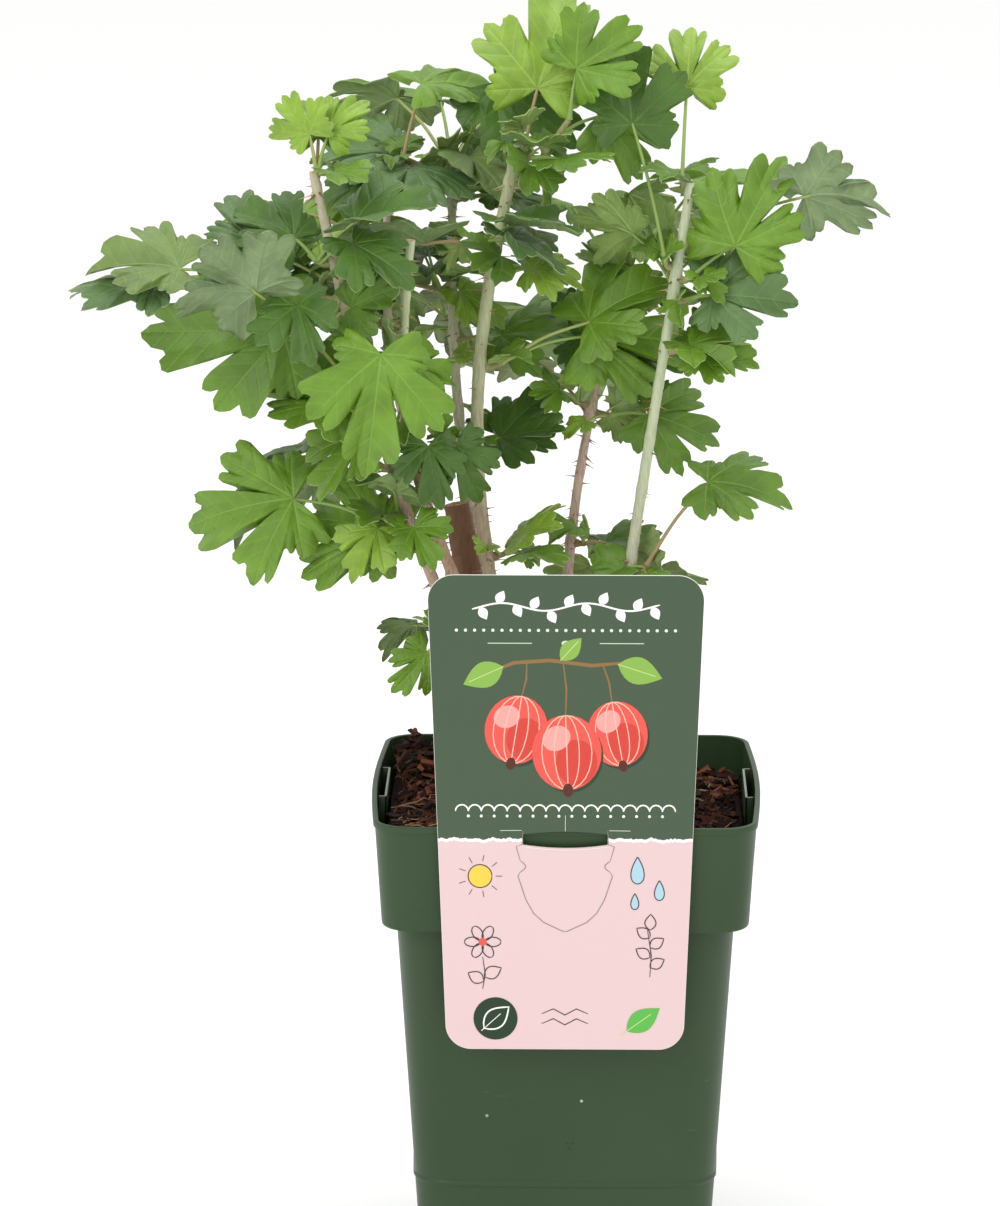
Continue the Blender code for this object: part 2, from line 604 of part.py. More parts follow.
def blade_height(x, y, form):
    """How far the blade stands off its flat plan: creased between veins, folded, and arched to its edge."""
    reach = math.hypot(x, y)
    if reach < 1e-6:
        return 0.0
    turn = math.degrees(math.atan2(x, y))
    off_vein = math.radians(min(abs(turn - degrees) for degrees, _ in VEINS))
    return form.fold * abs(x) - form.arch * reach * reach + BLADE_CREASE * reach * off_vein


def blade_surface(frame, form, offset=0.0):
    """The blade's points in place, moved off its middle surface by an offset."""
    placed = []
    for plan in BLADE_POINTS:
        height = blade_height(plan.x, plan.y, form)
        local = Vector((plan.x * form.length, plan.y * form.length, height * form.length + offset))
        placed.append(frame @ local)
    return placed


def blade_frame(base, forward, face):
    """A frame whose Y runs along the midrib and whose Z stands on the upper side."""
    above = (face - forward * face.dot(forward)).normalized()
    frame = Matrix((forward.cross(above), forward, above)).transposed().to_4x4()
    frame.translation = base
    return frame


def stalk_limb(root, base, frame, form):
    """A leaf stalk: sunk into the blade's lower side along the midrib, then a thin arch down to its root."""
    span = base - root
    bend = root + span * 0.5 + UP * span.length * STALK_ARCH
    height = blade_height(0, STALK_SUNK / form.length, form) * form.length
    points = [frame @ Vector((0, STALK_SUNK, height - STALK_DROP))]
    for step in range(STALK_STEPS):
        share = 1 - step / (STALK_STEPS - 1)
        points.append(root.lerp(bend, share).lerp(bend.lerp(base, share), share))
    points[1] -= frame.col[2].to_3d() * STALK_DROP
    radii = [STALK_RADIUS * 0.7] + [STALK_RADIUS] * (len(points) - 1)
    return Limb(points, radii, path_normals(points))


def tree_of(points, faces):
    """A search tree and bounding box of a set of faces."""
    low = Vector(map(min, zip(*points)))
    high = Vector(map(max, zip(*points)))
    return BVHTree.FromPolygons(points, faces), low, high


def tube_tree(limb, sides, extra):
    """The search tree of a tube that is a little fatter than the real one."""
    fat = limb._replace(radii=[radius + extra for radius in limb.radii])
    rings = tube_rings(fat, sides)
    points = [point for ring in rings for point in ring]
    faces = []
    for level in range(len(rings) - 1):
        for index in range(sides):
            after = (index + 1) % sides
            corner = level * sides
            faces.append((corner + index, corner + after, corner + sides + after, corner + sides + index))
    return tree_of(points, faces)


def blade_tree(frame, form, extra):
    """The search tree of a blade's two sides, each moved out a little."""
    points = blade_surface(frame, form, extra) + blade_surface(frame, form, -extra)
    below = [tuple(index + len(BLADE_POINTS) for index in face) for face in BLADE_FACES]
    return tree_of(points, BLADE_FACES + below)


def boxes_meet(one, other):
    """Whether two search trees' boxes overlap."""
    return all(one[1][axis] <= other[2][axis] and other[1][axis] <= one[2][axis] for axis in range(3))


def is_clear(candidate, obstacles):
    """Whether a candidate's tree touches none of the obstacles."""
    return not any(boxes_meet(candidate, other) and candidate[0].overlap(other[0]) for other in obstacles)


def in_crown(points):
    """Whether every point keeps to the crown's space."""
    return all(CROWN_LOW[axis] <= point[axis] <= CROWN_HIGH[axis] for point in points for axis in range(3))


def spur_limb(shoot, limbs):
    """The woody spur of a mass: it leaves its cane's side square to it and turns to the leaves' heading."""
    centre, radius, along = limb_at(limbs[shoot.cane], shoot.height)
    outward = heading_vector(shoot.heading)
    outward = (outward - along * outward.dot(along)).normalized()
    ahead = heading_vector(shoot.heading, shoot.rise)
    start = centre + outward * (radius + GAP)
    knee = start + outward * SPUR_KNEE
    points = [start, knee, knee + ahead * (shoot.spur - SPUR_KNEE)]
    radii = tapered(SPUR_RADIUS, SPUR_RADIUS * SPUR_TAPER, len(points))
    return Limb(points, radii, path_normals(points, outward))


def place_leaf(shoot, number, spur, rng, others, own):
    """Find a clear place for one leaf, with more freedom at each try, or None.

    Others holds the trees of all other pieces, and own those of this mass's earlier leaves, whose
    stalks may meet this one at the spur.
    """
    share = number / (shoot.leaves - 1) - 0.5 if shoot.leaves > 1 else 0.0
    root = spur.points[-1].lerp(spur.points[1], number / shoot.leaves * ROOT_SPREAD)
    form = BladeForm(shoot.blade * rng.uniform(*BLADE_SIZES) / WIDTH_TO_LENGTH,
                     rng.uniform(*BLADE_FOLDS), rng.uniform(*BLADE_ARCHES))
    for attempt in range(TRIES):
        loose = FIRST_FREEDOM + (LAST_FREEDOM - FIRST_FREEDOM) * attempt / TRIES
        heading = shoot.heading + shoot.fan * share + rng.gauss(0, HEADING_SPREAD) * loose
        rise = shoot.rise + shoot.lift * share + rng.gauss(0, RISE_SPREAD) * loose
        pitch = shoot.pitch + shoot.lift * share + rng.gauss(0, PITCH_SPREAD) * loose
        length = shoot.stalk * (1 + rng.uniform(-STALK_SPREAD, STALK_SPREAD) * loose)
        base = root + heading_vector(heading, rise) * length
        forward = heading_vector(heading + rng.gauss(0, TWIST_SPREAD) * loose, pitch)
        face = UP * (1 - shoot.lean) + heading_vector(shoot.facing) * shoot.lean
        face += Vector([rng.gauss(0, FACE_SPREAD) * loose for _ in range(3)])
        frame = blade_frame(base, forward, face)
        if not in_crown(blade_surface(frame, form)):
            continue
        stalk = stalk_limb(root, base, frame, form)
        outer = Limb(stalk.points[:-1], stalk.radii[:-1], stalk.normals[:-1])
        blade = blade_tree(frame, form, BLADE_THICK / 2 + CLEARANCE)
        whole_stem = tube_tree(stalk, STALK_SIDES, CLEARANCE)
        outer_stem = tube_tree(outer, STALK_SIDES, CLEARANCE)
        if not (is_clear(blade, others + own) and is_clear(outer_stem, own)):
            continue
        if is_clear(whole_stem, others):
            return Leaf(frame, form, stalk), (blade, outer_stem), (blade, whole_stem)
    return None


def blade_piece(name, leaf):
    """One thin closed blade."""
    bm = bmesh.new()
    spots = [bm.verts.new(point) for point in blade_surface(leaf.frame, leaf.form, -BLADE_THICK / 2)]
    faces = [bm.faces.new([spots[index] for index in face]) for face in BLADE_FACES]
    bmesh.ops.recalc_face_normals(bm, faces=faces)
    lift = leaf.frame.col[2].to_3d() * BLADE_THICK
    grown_up = bmesh.ops.extrude_face_region(bm, geom=faces, use_keep_orig=True)
    moved = [item for item in grown_up["geom"] if isinstance(item, bmesh.types.BMVert)]
    bmesh.ops.translate(bm, verts=moved, vec=lift)
    return add_object(name, bm, None)


def tube_piece(name, limb, sides, material=None, start=None):
    """One closed tapering tube."""
    bm = bmesh.new()
    add_loft(bm, tube_rings(limb, sides, start))
    return add_object(name, bm, material)


def build_mass(shoot, spur, leaves, material):
    """Join a spur, its leaf stalks and its blades into one solid."""
    mass = tube_piece(shoot.name, spur, SPUR_SIDES, material)
    bundle = bpy.data.collections.new("bundle")
    bpy.context.scene.collection.children.link(bundle)
    for number, leaf in enumerate(leaves):
        upper_side = leaf.frame.col[2].to_3d()
        pieces = (tube_piece(f"stalk_{number}", leaf.stalk, STALK_SIDES, start=upper_side),
                  blade_piece(f"blade_{number}", leaf))
        for piece in pieces:
            bpy.context.scene.collection.objects.unlink(piece)
            bundle.objects.link(piece)
    modifier = mass.modifiers.new("join", "BOOLEAN")
    modifier.operation = "UNION"
    modifier.operand_type = "COLLECTION"
    modifier.solver = "EXACT"
    modifier.use_self = True
    modifier.collection = bundle
    freeze_modifiers(mass)
    for piece in list(bundle.objects):
        bpy.data.objects.remove(piece, do_unlink=True)
    bpy.data.collections.remove(bundle)
    mass.data.materials.clear()
    mass.data.materials.append(material)
    return mass


def mesh_tree(item):
    """The search tree of a finished object, in millimetres."""
    points = [vertex.co / MM for vertex in item.data.vertices]
    return tree_of(points, [tuple(face.vertices) for face in item.data.polygons])


def build_bush(obstacles):
    """The stems and canes, then each mass of foliage in the room that is left."""
    bark = make_material("gooseberry_bark", (0.24, 0.19, 0.13), 0.8)
    leaf_green = make_material("gooseberry_leaf", (0.09, 0.21, 0.045), 0.45)
    limbs = all_limbs()
    for name, limb in limbs.items():
        tube_piece(name, limb, LIMB_SIDES, bark)
        obstacles.append(tube_tree(limb, LIMB_SIDES, GAP))
    spurs = {shoot.name: spur_limb(shoot, limbs) for shoot in SHOOTS}
    spur_trees = {name: tube_tree(spur, SPUR_SIDES, GAP) for name, spur in spurs.items()}
    for shoot in SHOOTS:
        rng = random.Random(shoot.name)
        spur = spurs[shoot.name]
        others = obstacles + [tree for name, tree in spur_trees.items() if name != shoot.name]
        leaves = []
        own = []
        for number in range(shoot.leaves):
            placed = place_leaf(shoot, number, spur, rng, others, own)
            if placed is None:
                continue
            leaf, near_trees, all_trees = placed
            leaves.append(leaf)
            own += near_trees
            obstacles += all_trees
        build_mass(shoot, spur, leaves, leaf_green)


def main():
    clear_scene()
    standing = [build_pot(), build_medium(), build_card()]
    build_bush([mesh_tree(item) for item in standing])


if __name__ == "__main__":
    main()
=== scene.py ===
"""Gooseberry bush in a square nursery pot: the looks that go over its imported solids.

Run as a script in Blender. It makes toothed leaves, stalks, bark, prickles, bark chips, the moulded
pot and the printed card, then the stage. Lengths are in millimetres until a mesh is made.
"""
import collections
import json
import math
import random

import bmesh
import bpy
import numpy as np
from mathutils import Matrix, Vector, noise
from mathutils.bvhtree import BVHTree

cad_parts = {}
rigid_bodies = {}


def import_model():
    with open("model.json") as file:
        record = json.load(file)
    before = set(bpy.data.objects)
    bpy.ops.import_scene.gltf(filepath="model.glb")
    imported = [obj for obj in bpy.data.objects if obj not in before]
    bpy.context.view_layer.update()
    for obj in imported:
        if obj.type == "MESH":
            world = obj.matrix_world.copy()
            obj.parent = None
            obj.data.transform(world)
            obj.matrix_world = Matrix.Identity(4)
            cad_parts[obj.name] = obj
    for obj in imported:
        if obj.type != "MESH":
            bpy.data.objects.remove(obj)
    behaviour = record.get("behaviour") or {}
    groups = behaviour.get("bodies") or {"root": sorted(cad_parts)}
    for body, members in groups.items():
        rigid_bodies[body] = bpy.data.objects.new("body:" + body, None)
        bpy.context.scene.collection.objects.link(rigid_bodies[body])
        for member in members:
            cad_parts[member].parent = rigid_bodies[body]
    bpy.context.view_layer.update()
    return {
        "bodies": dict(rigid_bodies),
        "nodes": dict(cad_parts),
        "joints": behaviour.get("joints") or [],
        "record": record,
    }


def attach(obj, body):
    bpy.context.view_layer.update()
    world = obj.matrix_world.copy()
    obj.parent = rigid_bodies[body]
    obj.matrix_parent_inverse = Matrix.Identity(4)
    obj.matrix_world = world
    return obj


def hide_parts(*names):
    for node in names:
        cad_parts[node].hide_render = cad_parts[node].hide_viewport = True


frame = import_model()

bl_info = {
    "name": "Gooseberry Bush in a Pot",
    "version": (1, 0, 0),
    "blender": (4, 5, 0),
    "location": "View3D > Sidebar > Bush",
    "description": "Builds the looks of a potted gooseberry bush over its solids",
    "category": "Add Mesh",
}

MM = 0.001
GAP = 0.3
FULL_TURN = 2 * math.pi
UP = Vector((0, 0, 1))
IMAGE_SIZE = (1000, 1206)

# Pot: the same sizes as the solids
POT_HEIGHT = 200.0
POT_WALL = 1.4
POT_FLOOR = 2.2
RIM_HALF = 75.0
RIM_CORNER = 13.0
RIM_BOW_SIDES = 2.4
RIM_BOW_FRONT = 1.0
LIP_DEPTH = 2.6
COLLAR_TOP_HALF = 74.3
COLLAR_FOOT_HALF = 71.9
COLLAR_FOOT = 157.0
COLLAR_UNDERCUT = 1.0
COLLAR_MIDDLE = 178.0
LEDGE_FOOT = 155.0
BODY_TOP_HALF = 66.4
BODY_FOOT_HALF = 56.6
BODY_CORNER = 16.0
BODY_BOW = 0.9
SEAM_HEIGHT = 50.0
SEAM_STEP = 0.6
FOOT_ROUND = 2.5
CORNER_STEPS = 10
SIDE_STEPS = 7
DRAIN_RADIUS = 5.5
DRAIN_OFFSET = 34.0
POCKET_LENGTH = 46.0
POCKET_DEPTH = 5.0
POCKET_TOP = 199.0
POCKET_FOOT = 186.0
POCKET_WALL = 1.0
POCKET_EDGE = 0.25
PIP_HEIGHT = 68.0
PIP_RADIUS = 0.42
MEDIUM_LEVEL = 190.0
# Profiles as a rise and how far out or in: the seam round the body, the collar's foot, the rolled lip
SEAM_PROFILE = ((-1.3, 0), (-0.9, 0.5), (-0.3, 1), (0.3, 1), (0.9, 0.5), (1.3, 0))
COLLAR_PROFILE = ((0, COLLAR_UNDERCUT), (0.15, 0.45), (0.6, 0.12), (1.4, 0), (2.6, 0))
LIP_PROFILE = ((0.15, 0.85), (0.5, 1), (2.0, 1), (2.35, 0.8), (2.55, 0.35), (LIP_DEPTH, -0.3))
POT_SHARP = 28

# Bark chips and fibres on the filling: their sizes, how high they pile, and what they keep clear of
CHIP_CODES = ("#140B08", "#26130C", "#3C1C13", "#552A1D", "#1E100B", "#71412D")
CHIP_LENGTHS = (2.2, 7.5)
CHIP_WIDTHS = (0.5, 1.7)
CHIP_HEIGHTS = (0.3, 0.9)
CHIP_TIPS = (0.2, 1.3)
CHIP_ROUGH = 0.22
CHIP_PILE = 2.6
HEAP_PILE = 7.5
HEAP_TOP = 203.0
STEM_CLEAR = 6.5
CHIP_MARGIN = 6.0
FIBRE_CODES = ("#8E6A46", "#5F3F29", "#2E1C13", "#AD8C64")
FIBRE_LENGTHS = (5, 17)
FIBRE_THICK = (0.12, 0.32)
FIBRE_SAG = 5.0
FIBRE_MARGIN = 3.0

# Card: the same sizes as the solid, and the torn-looking edge between its two colours
TEAR_HEIGHT = 196.5
CARD_TOP = 301.0
CARD_FOOT = 111.5
CARD_TOP_HALF = 53.0
CARD_FOOT_HALF = 46.5
CARD_CORNER = 10.0
CARD_THICK = 0.8
CARD_Y = -77.1
CARD_LIFT = 0.35
SLIT_TOP = 199.4
SLIT_FOOT = 192.8
SLIT_HALF = 16.4
TAB_HALF = 15.0
TAB_FOOT = 190.6
TAB_INNER_Y = -72.4
CARD_SHARP = 20

# Stems and canes: the same rule as the solids
STEM_FOOT = (-14.0, 4.0)
STEM_TIP = (-44.0, 8.0, 311.0)
STEM_FOOT_RADIUS = 6.8
STEM_TIP_RADIUS = 4.9
STEM_BOW = (-3, 0)
STEM_FLARE = 5.0
STEM_FLARE_HEIGHT = 7.0
STEM_FLARE_RINGS = (0.25, 0.55)
LIMB_SIDES = 6
RING_SPACING = 17.0
ELBOW_KNEE = (1.1, 1.5)
ELBOW_END = (1.5, 4.0)
SUCKER_SWELL = 1.35

# Young leaves at every spur: tries for a clear place, share of the mesh detail, blades in one piece
YOUNG_TRIES = 16
YOUNG_DETAIL = 0.42
YOUNG_REACH = 13
PIECE_YOUNG = 80
# Side leaves, for the masses that the photo shows fuller than their main leaves
FULLER_DETAIL = 0.75
FULLER_COUNT = 3
FULLER_REACH = 26
FULLER_BLADES = (20.0, 33.0)
FULLER = ("left_far", "left_strip", "left_upper", "left_big", "left_low", "centre_long", "middle_dark",
          "back_left_top", "back_left_b", "back_left_c", "back_right_d")
# Share of the solid leaf's size, for masses behind the gaps where the photo shows sky
GAP_LEAVES = {"back_right_b": 0.72, "back_right_c": 0.8, "back_right_d": 0.8, "back_right_e": 0.78,
              "back_a": 0.62, "right_droop": 0.86}
# Share of the solid canes' radius that the bark is drawn at
CANE_SHARE = 0.88
# Prickles, stalks and spurs
BRISTLE_LENGTHS = (1.8, 4.6)
SPINE_LENGTHS = (4.0, 7.0)
STALK_TIP_RADIUS = 0.6
STALK_TONES = ("#8FA95A", "#A3AE66", "#A9936A")
SPUR_SUNK = 1.6
# Stems: how deep their feet go into what carries them, and swellings at spurs and old leaf scars
BRANCH_SUNK = 2.6
SUCKER_SUNK = 3
NODE_SWELL = 0.42
NODE_SPREAD = 2.6
SCAR_SWELL = 0.2
SCAR_SPREAD = 2.2
SCAR_LOW = 215
SCAR_SPACING = 21
PRICKLE_TONES = ("#A98A66", "#C7B48C", "#7C5A40")
# Bark of each limb: its colours below and above, the heights between which they change, and its relief
BARKS = {
    "main_stem": ("#6B4A38", "#8A6650", 200, 300, 0.95),
    "cane_left": ("#C4A895", "#C9C0A4", 300, 420, 0.28),
    "cane_left_middle": ("#BD9B84", "#C4CCA4", 330, 375, 0.3),
    "cane_left_back": ("#CFB7A8", "#D4C6B4", 290, 420, 0.24),
    "cane_back": ("#C6B7A6", "#C9C9AC", 280, 380, 0.28),
    "cane_centre": ("#BCA98F", "#C2C99E", 300, 380, 0.34),
    "cane_right_middle": ("#CFB3A6", "#BBBF8C", 345, 380, 0.3),
    "cane_right": ("#C9BCB0", "#BFC9A6", 270, 330, 0.2),
}
# Share of the usual number of prickles
PRICKLY = {"main_stem": 0.5, "cane_right": 0.35, "cane_left_middle": 1.5, "cane_centre": 1.3}

# Print: how far ink stands off the card, the step from one shape to the next, and its colours
CARD_CORNER_STEPS = 12
INK_PROUD = 0.03
INK_LAYER = 0.0006
INK = {
    "white": "#F4F3EC", "pale": "#C9D3BC", "shadow": "#2F3F2C", "berry": "#E2574C", "berry_dark": "#CF4237",
    "berry_light": "#F2A09A", "stripe": "#F4B8A4", "dry": "#54291B", "twig": "#8A6B3E", "leaf": "#86B04C",
    # cut is painted shade: the dark grey of the tongue's die cut
    "leaf_line": "#C4D68C", "cut": "#8F8486", "cut_light": "#E6E2DC", "pen": "#3B3436", "sun": "#F2C84B",
    "water": "#A9CBD9", "badge": "#213823", "fresh": "#5DB24A",
}

# Stage: the floor, and the camera and lamps that match the photo's view and light
FLOOR_HALF = 14.0
CAMERA_AIM = (-0.0265, 0.0, 0.2724)
CAMERA_TURN = 0.9128
CAMERA_RISE = 12.7968
CAMERA_DISTANCE = 2.2
CAMERA_PIXELS = 5535.34
LAMPS = (
    ("key_lamp", (-1.5, -1.9, 2.0), 1.1, 1.1, 21.0),
    ("fill_lamp", (1.9, -1.6, 1.3), 1.6, 1.6, 3.0),
    ("top_lamp", (0.2, 0.5, 2.6), 1.4, 1.4, 17.0),
)

# Canes that branch off the main stem: height and heading of the branching, tip, sideways bow, radii
Branch = collections.namedtuple("Branch", "name height heading tip bow foot_radius tip_radius")
BRANCHES = (
    Branch("cane_left", 234, -165, (-97, -48, 452), (-6, -4), 2.8, 1.9),
    Branch("cane_left_middle", 258, -118, (-60, -44, 425), (-12, -9), 3.0, 1.9),
    Branch("cane_left_back", 278, 170, (-71, 30, 440), (-10, 0), 2.4, 1.6),
    Branch("cane_back", 240, 95, (-46, 46, 445), (-6, 1), 2.7, 1.8),
    Branch("cane_centre", 224, -75, (-19, 4, 457), (-15, 0), 3.4, 2.4),
)

# Canes that rise from the growing medium: foot, tip, sideways bow, radii
Sucker = collections.namedtuple("Sucker", "name foot tip bow foot_radius tip_radius")
SUCKERS = (
    Sucker("cane_right_middle", (0, 18), (21, 42, 395), (-9, -6), 2.9, 1.6),
    Sucker("cane_right", (10, -6), (48, -6, 442), (0, 0), 2.8, 2.0),
)

# Leaf blade: five veins fan out from the stalk, as degrees off the midrib and share of the length
VEINS = ((-96, 0.52), (-46, 0.84), (0, 1.0), (46, 0.84), (96, 0.52))
SHOULDERED = (False, True, True, True, False)
SHOULDER_TURN = 14.0
SHOULDER_SHARE = 0.85
NOTCH_SHARE = 0.5  # how near the stalk the notches between the lobes come
VEIN_MIDDLE = 0.5
WIDTH_TO_LENGTH = 1.36
BLADE_THICK = 0.8
BLADE_CREASE = 0.16
STALK_RADIUS = 0.85
STALK_SIDES = 3
STALK_STEPS = 3
STALK_ARCH = 0.12
STALK_SUNK = 2.8
STALK_DROP = 0.45
SPUR_RADIUS = 1.35
SPUR_TAPER = 0.8
SPUR_KNEE = 1.8
SPUR_SIDES = 5

# How the leaves of one mass differ, and how they look for a clear place
BLADE_SIZES = (0.88, 1.1)
BLADE_FOLDS = (0.08, 0.32)
BLADE_ARCHES = (0.12, 0.34)
HEADING_SPREAD = 12.0
RISE_SPREAD = 8.0
PITCH_SPREAD = 12.0
TWIST_SPREAD = 16.0
STALK_SPREAD = 0.2
FACE_SPREAD = 0.16
ROOT_SPREAD = 0.6
FIRST_FREEDOM = 0.35
LAST_FREEDOM = 2.0
CLEARANCE = 0.9
TRIES = 30

# The space that the crown keeps to
CROWN_LOW = Vector((-204.0, -140.0, 222.0))
CROWN_HIGH = Vector((124.0, 150.0, 514.0))

# Masses of foliage. Each grows on a spur: the cane and height it leaves, the heading and rise of its
# leaf stalks with how far they fan out and lift from first to last, the length of spur and stalk, the
# rise of a blade's midrib, the number of leaves, the width of a blade, and how far its upper side leans
# from level (0) to upright (1) towards the heading that it faces.
Shoot = collections.namedtuple(
    "Shoot", "name cane height heading fan rise lift spur stalk pitch leaves blade lean facing"
)
SHOOTS = (
    Shoot("leaves_left_pale", "cane_left", 366, 212, 0, 46, 0, 8, 54, 50, 1, 56, 0.80, 90),
    Shoot("leaves_left_big", "cane_left", 394, 196, 0, -12, 0, 6, 20, -12, 1, 70, 0.75, -85),
    Shoot("leaves_left_far", "cane_left", 402, 183, 32, 11, 20, 40, 31, 16, 3, 58, 0.25, -90),
    Shoot("leaves_left_upper", "cane_left", 416, 184, 40, 26, -40, 5, 12, 12, 2, 36, 0.50, -90),
    Shoot("leaves_left_top", "cane_left", 446, 90, 140, 72, 0, 5, 16, 50, 3, 28, 0.60, -90),
    Shoot("leaves_left_strip", "cane_left_middle", 346, 178, 30, 28, 10, 5, 24, 28, 2, 58, 0.20, -90),
    Shoot("leaves_left_low", "cane_left", 306, 182, 0, 17, 0, 8, 37, -14, 1, 66, 0.65, -90),
    Shoot("leaves_left_foot", "cane_left", 298, 186, 0, 26, 0, 5, 10, 10, 1, 54, 0.60, -100),
    Shoot("leaves_centre_long", "cane_centre", 414, 190, 0, 12, 0, 6, 18, 2, 1, 62, 0.28, 90),
    Shoot("leaves_middle_droop", "cane_left_middle", 372, -102, 0, 24, 0, 8, 32, -66, 1, 58, 0.90, -90),
    Shoot("leaves_middle_dark", "cane_back", 392, 192, 10, 10, 10, 6, 22, 2, 2, 42, 0.40, -90),
    Shoot("leaves_middle_low", "cane_left_middle", 336, -50, 50, 30, 0, 6, 14, -66, 2, 34, 0.90, -90),
    Shoot("leaves_left_back_top", "cane_left_back", 436, 20, 0, 74, 0, 6, 39, 10, 1, 44, 0.35, -90),
    Shoot("leaves_back_left_top", "cane_back", 436, 186, 26, 14, -24, 5, 18, 8, 3, 46, 0.40, -90),
    Shoot("leaves_back_top", "cane_back", 441, -50, 0, 66, 0, 6, 32, -30, 1, 56, 0.70, -80),
    Shoot("leaves_back_strip", "cane_back", 428, -8, 0, 6, 0, 5, 10, 8, 1, 36, 0.15, -90),
    Shoot("leaves_centre_top", "cane_centre", 450, 50, 0, 72, 0, 5, 24, 74, 1, 50, 0.80, -90),
    Shoot("leaves_centre_shoot", "cane_centre", 440, 4, 50, 54, -50, 34, 20, 16, 2, 52, 0.70, -90),
    Shoot("leaves_centre_strip", "cane_centre", 451, -30, 0, 4, 0, 5, 12, 5, 1, 34, 0.15, -90),
    Shoot("leaves_centre_small", "cane_centre", 405, 6, 60, 14, 0, 4, 12, 0, 2, 26, 0.40, -90),
    Shoot("leaves_centre_right", "cane_centre", 368, 0, -14, 24, -28, 6, 34, 24, 2, 52, 0.55, -90),
    Shoot("leaves_centre_west", "cane_back", 372, -10, 0, 10, 0, 5, 12, 15, 1, 44, 0.40, -90),
    Shoot("leaves_centre_low", "cane_back", 330, -8, 40, 20, 0, 5, 10, 20, 2, 44, 0.40, -90),
    Shoot("leaves_centre_foot", "cane_centre", 292, -4, 60, 20, 40, 5, 8, 30, 2, 34, 0.20, -90),
    Shoot("leaves_right_palmate", "cane_right", 408, 160, 0, 76, 0, 6, 50, 78, 1, 50, 0.80, -90),
    Shoot("leaves_right_top", "cane_right", 438, 120, 76, 66, -10, 6, 38, 70, 2, 48, 0.75, -90),
    Shoot("leaves_right_level", "cane_right_middle", 390, 10, 0, 52, 0, 6, 46, 20, 1, 42, 0.12, -90),
    Shoot("leaves_right_far", "cane_right", 404, -16, 0, 36, 0, 6, 22, 64, 1, 50, 0.70, -90),
    Shoot("leaves_right_tip", "cane_right", 418, 8, 0, 22, 0, 12, 35, 18, 1, 46, 0.50, 90),
    Shoot("leaves_right_glossy", "cane_right", 396, -22, 0, 12, 0, 4, 10, 2, 1, 48, 0.60, -90),
    Shoot("leaves_right_pale", "cane_right", 376, -4, 50, 6, 0, 4, 8, 4, 2, 36, 0.45, -90),
    Shoot("leaves_middle_right_dark", "cane_right_middle", 372, -60, 200, 4, -20, 5, 12, 0, 3, 34, 0.60, -90),
    Shoot("leaves_middle_right_small", "cane_right_middle", 346, 180, 60, 20, 20, 4, 12, 0, 2, 22, 0.50, -90),
    Shoot("leaves_right_droop", "cane_right_middle", 343, -10, 0, 6, 0, 6, 16, -8, 1, 54, 0.60, -90),
    Shoot("leaves_right_low", "cane_right", 287, -6, 0, 52, 0, 6, 44, 8, 1, 42, 0.40, -90),
    Shoot("leaves_right_foot", "cane_right_middle", 292, -10, 0, 2, 0, 4, 8, 8, 1, 34, 0.15, -90),
    Shoot("leaves_low", "cane_left", 262, 224, 0, -30, 0, 5, 8, -40, 1, 27, 0.80, -90),
    Shoot("leaves_back_a", "cane_back", 250, 105, 70, -4, 10, 8, 40, -24, 2, 50, 0.55, 105),
    Shoot("leaves_back_b", "cane_back", 345, 118, 56, 12, 10, 10, 46, -20, 2, 52, 0.55, 120),
    Shoot("leaves_back_c", "cane_back", 375, 85, 60, 6, 10, 12, 46, -24, 3, 52, 0.55, 80),
    Shoot("leaves_back_d", "cane_back", 436, 95, 80, 36, 10, 10, 40, -10, 3, 50, 0.50, 100),
    Shoot("leaves_back_left_a", "cane_left_back", 322, 150, 60, 5, 10, 10, 44, -20, 3, 52, 0.55, 160),
    Shoot("leaves_back_left_b", "cane_left_back", 380, 140, 60, 20, 10, 12, 46, -16, 3, 54, 0.55, 140),
    Shoot("leaves_back_left_c", "cane_left_back", 412, 150, 60, 14, 10, 10, 36, -10, 2, 50, 0.50, 165),
    Shoot("leaves_back_right_a", "cane_right_middle", 254, 84, 60, -4, 10, 6, 36, -20, 2, 44, 0.60, 60),
    Shoot("leaves_back_right_b", "cane_right_middle", 342, 100, 50, 14, 10, 8, 44, -20, 2, 50, 0.55, 90),
    Shoot("leaves_back_right_c", "cane_right", 292, 96, 50, -12, 10, 10, 34, -24, 2, 46, 0.55, 60),
    Shoot("leaves_back_right_d", "cane_right", 400, 98, 56, 22, 10, 10, 44, -12, 3, 50, 0.50, 70),
    Shoot("leaves_back_right_e", "cane_right_middle", 390, 90, 80, 40, 10, 8, 40, -10, 2, 50, 0.45, 90),
)

Limb = collections.namedtuple("Limb", "points radii normals")
BladeForm = collections.namedtuple("BladeForm", "length fold arch")
Leaf = collections.namedtuple("Leaf", "frame form stalk")
Bush = collections.namedtuple("Bush", "limbs spurs masses obstacles")
BUSH = []


def ring_round(centre, radius, normal, sides, start=None):
    """A ring of points square to a direction; it starts on the side nearest to the start direction."""
    across = start if start is not None else Vector((1, 0, 0))
    across = across - normal * across.dot(normal)
    across.normalize()
    other = normal.cross(across)
    angles = (FULL_TURN * index / sides for index in range(sides))
    return [centre + radius * (across * math.cos(a) + other * math.sin(a)) for a in angles]


def tube_rings(limb, sides, start=None):
    """The rings of a limb, each started where the last one started, so that the tube doesn't twist."""
    rings = []
    for centre, radius, normal in zip(limb.points, limb.radii, limb.normals):
        ring = ring_round(centre, radius, normal, sides, start)
        start = ring[0] - centre
        rings.append(ring)
    return rings


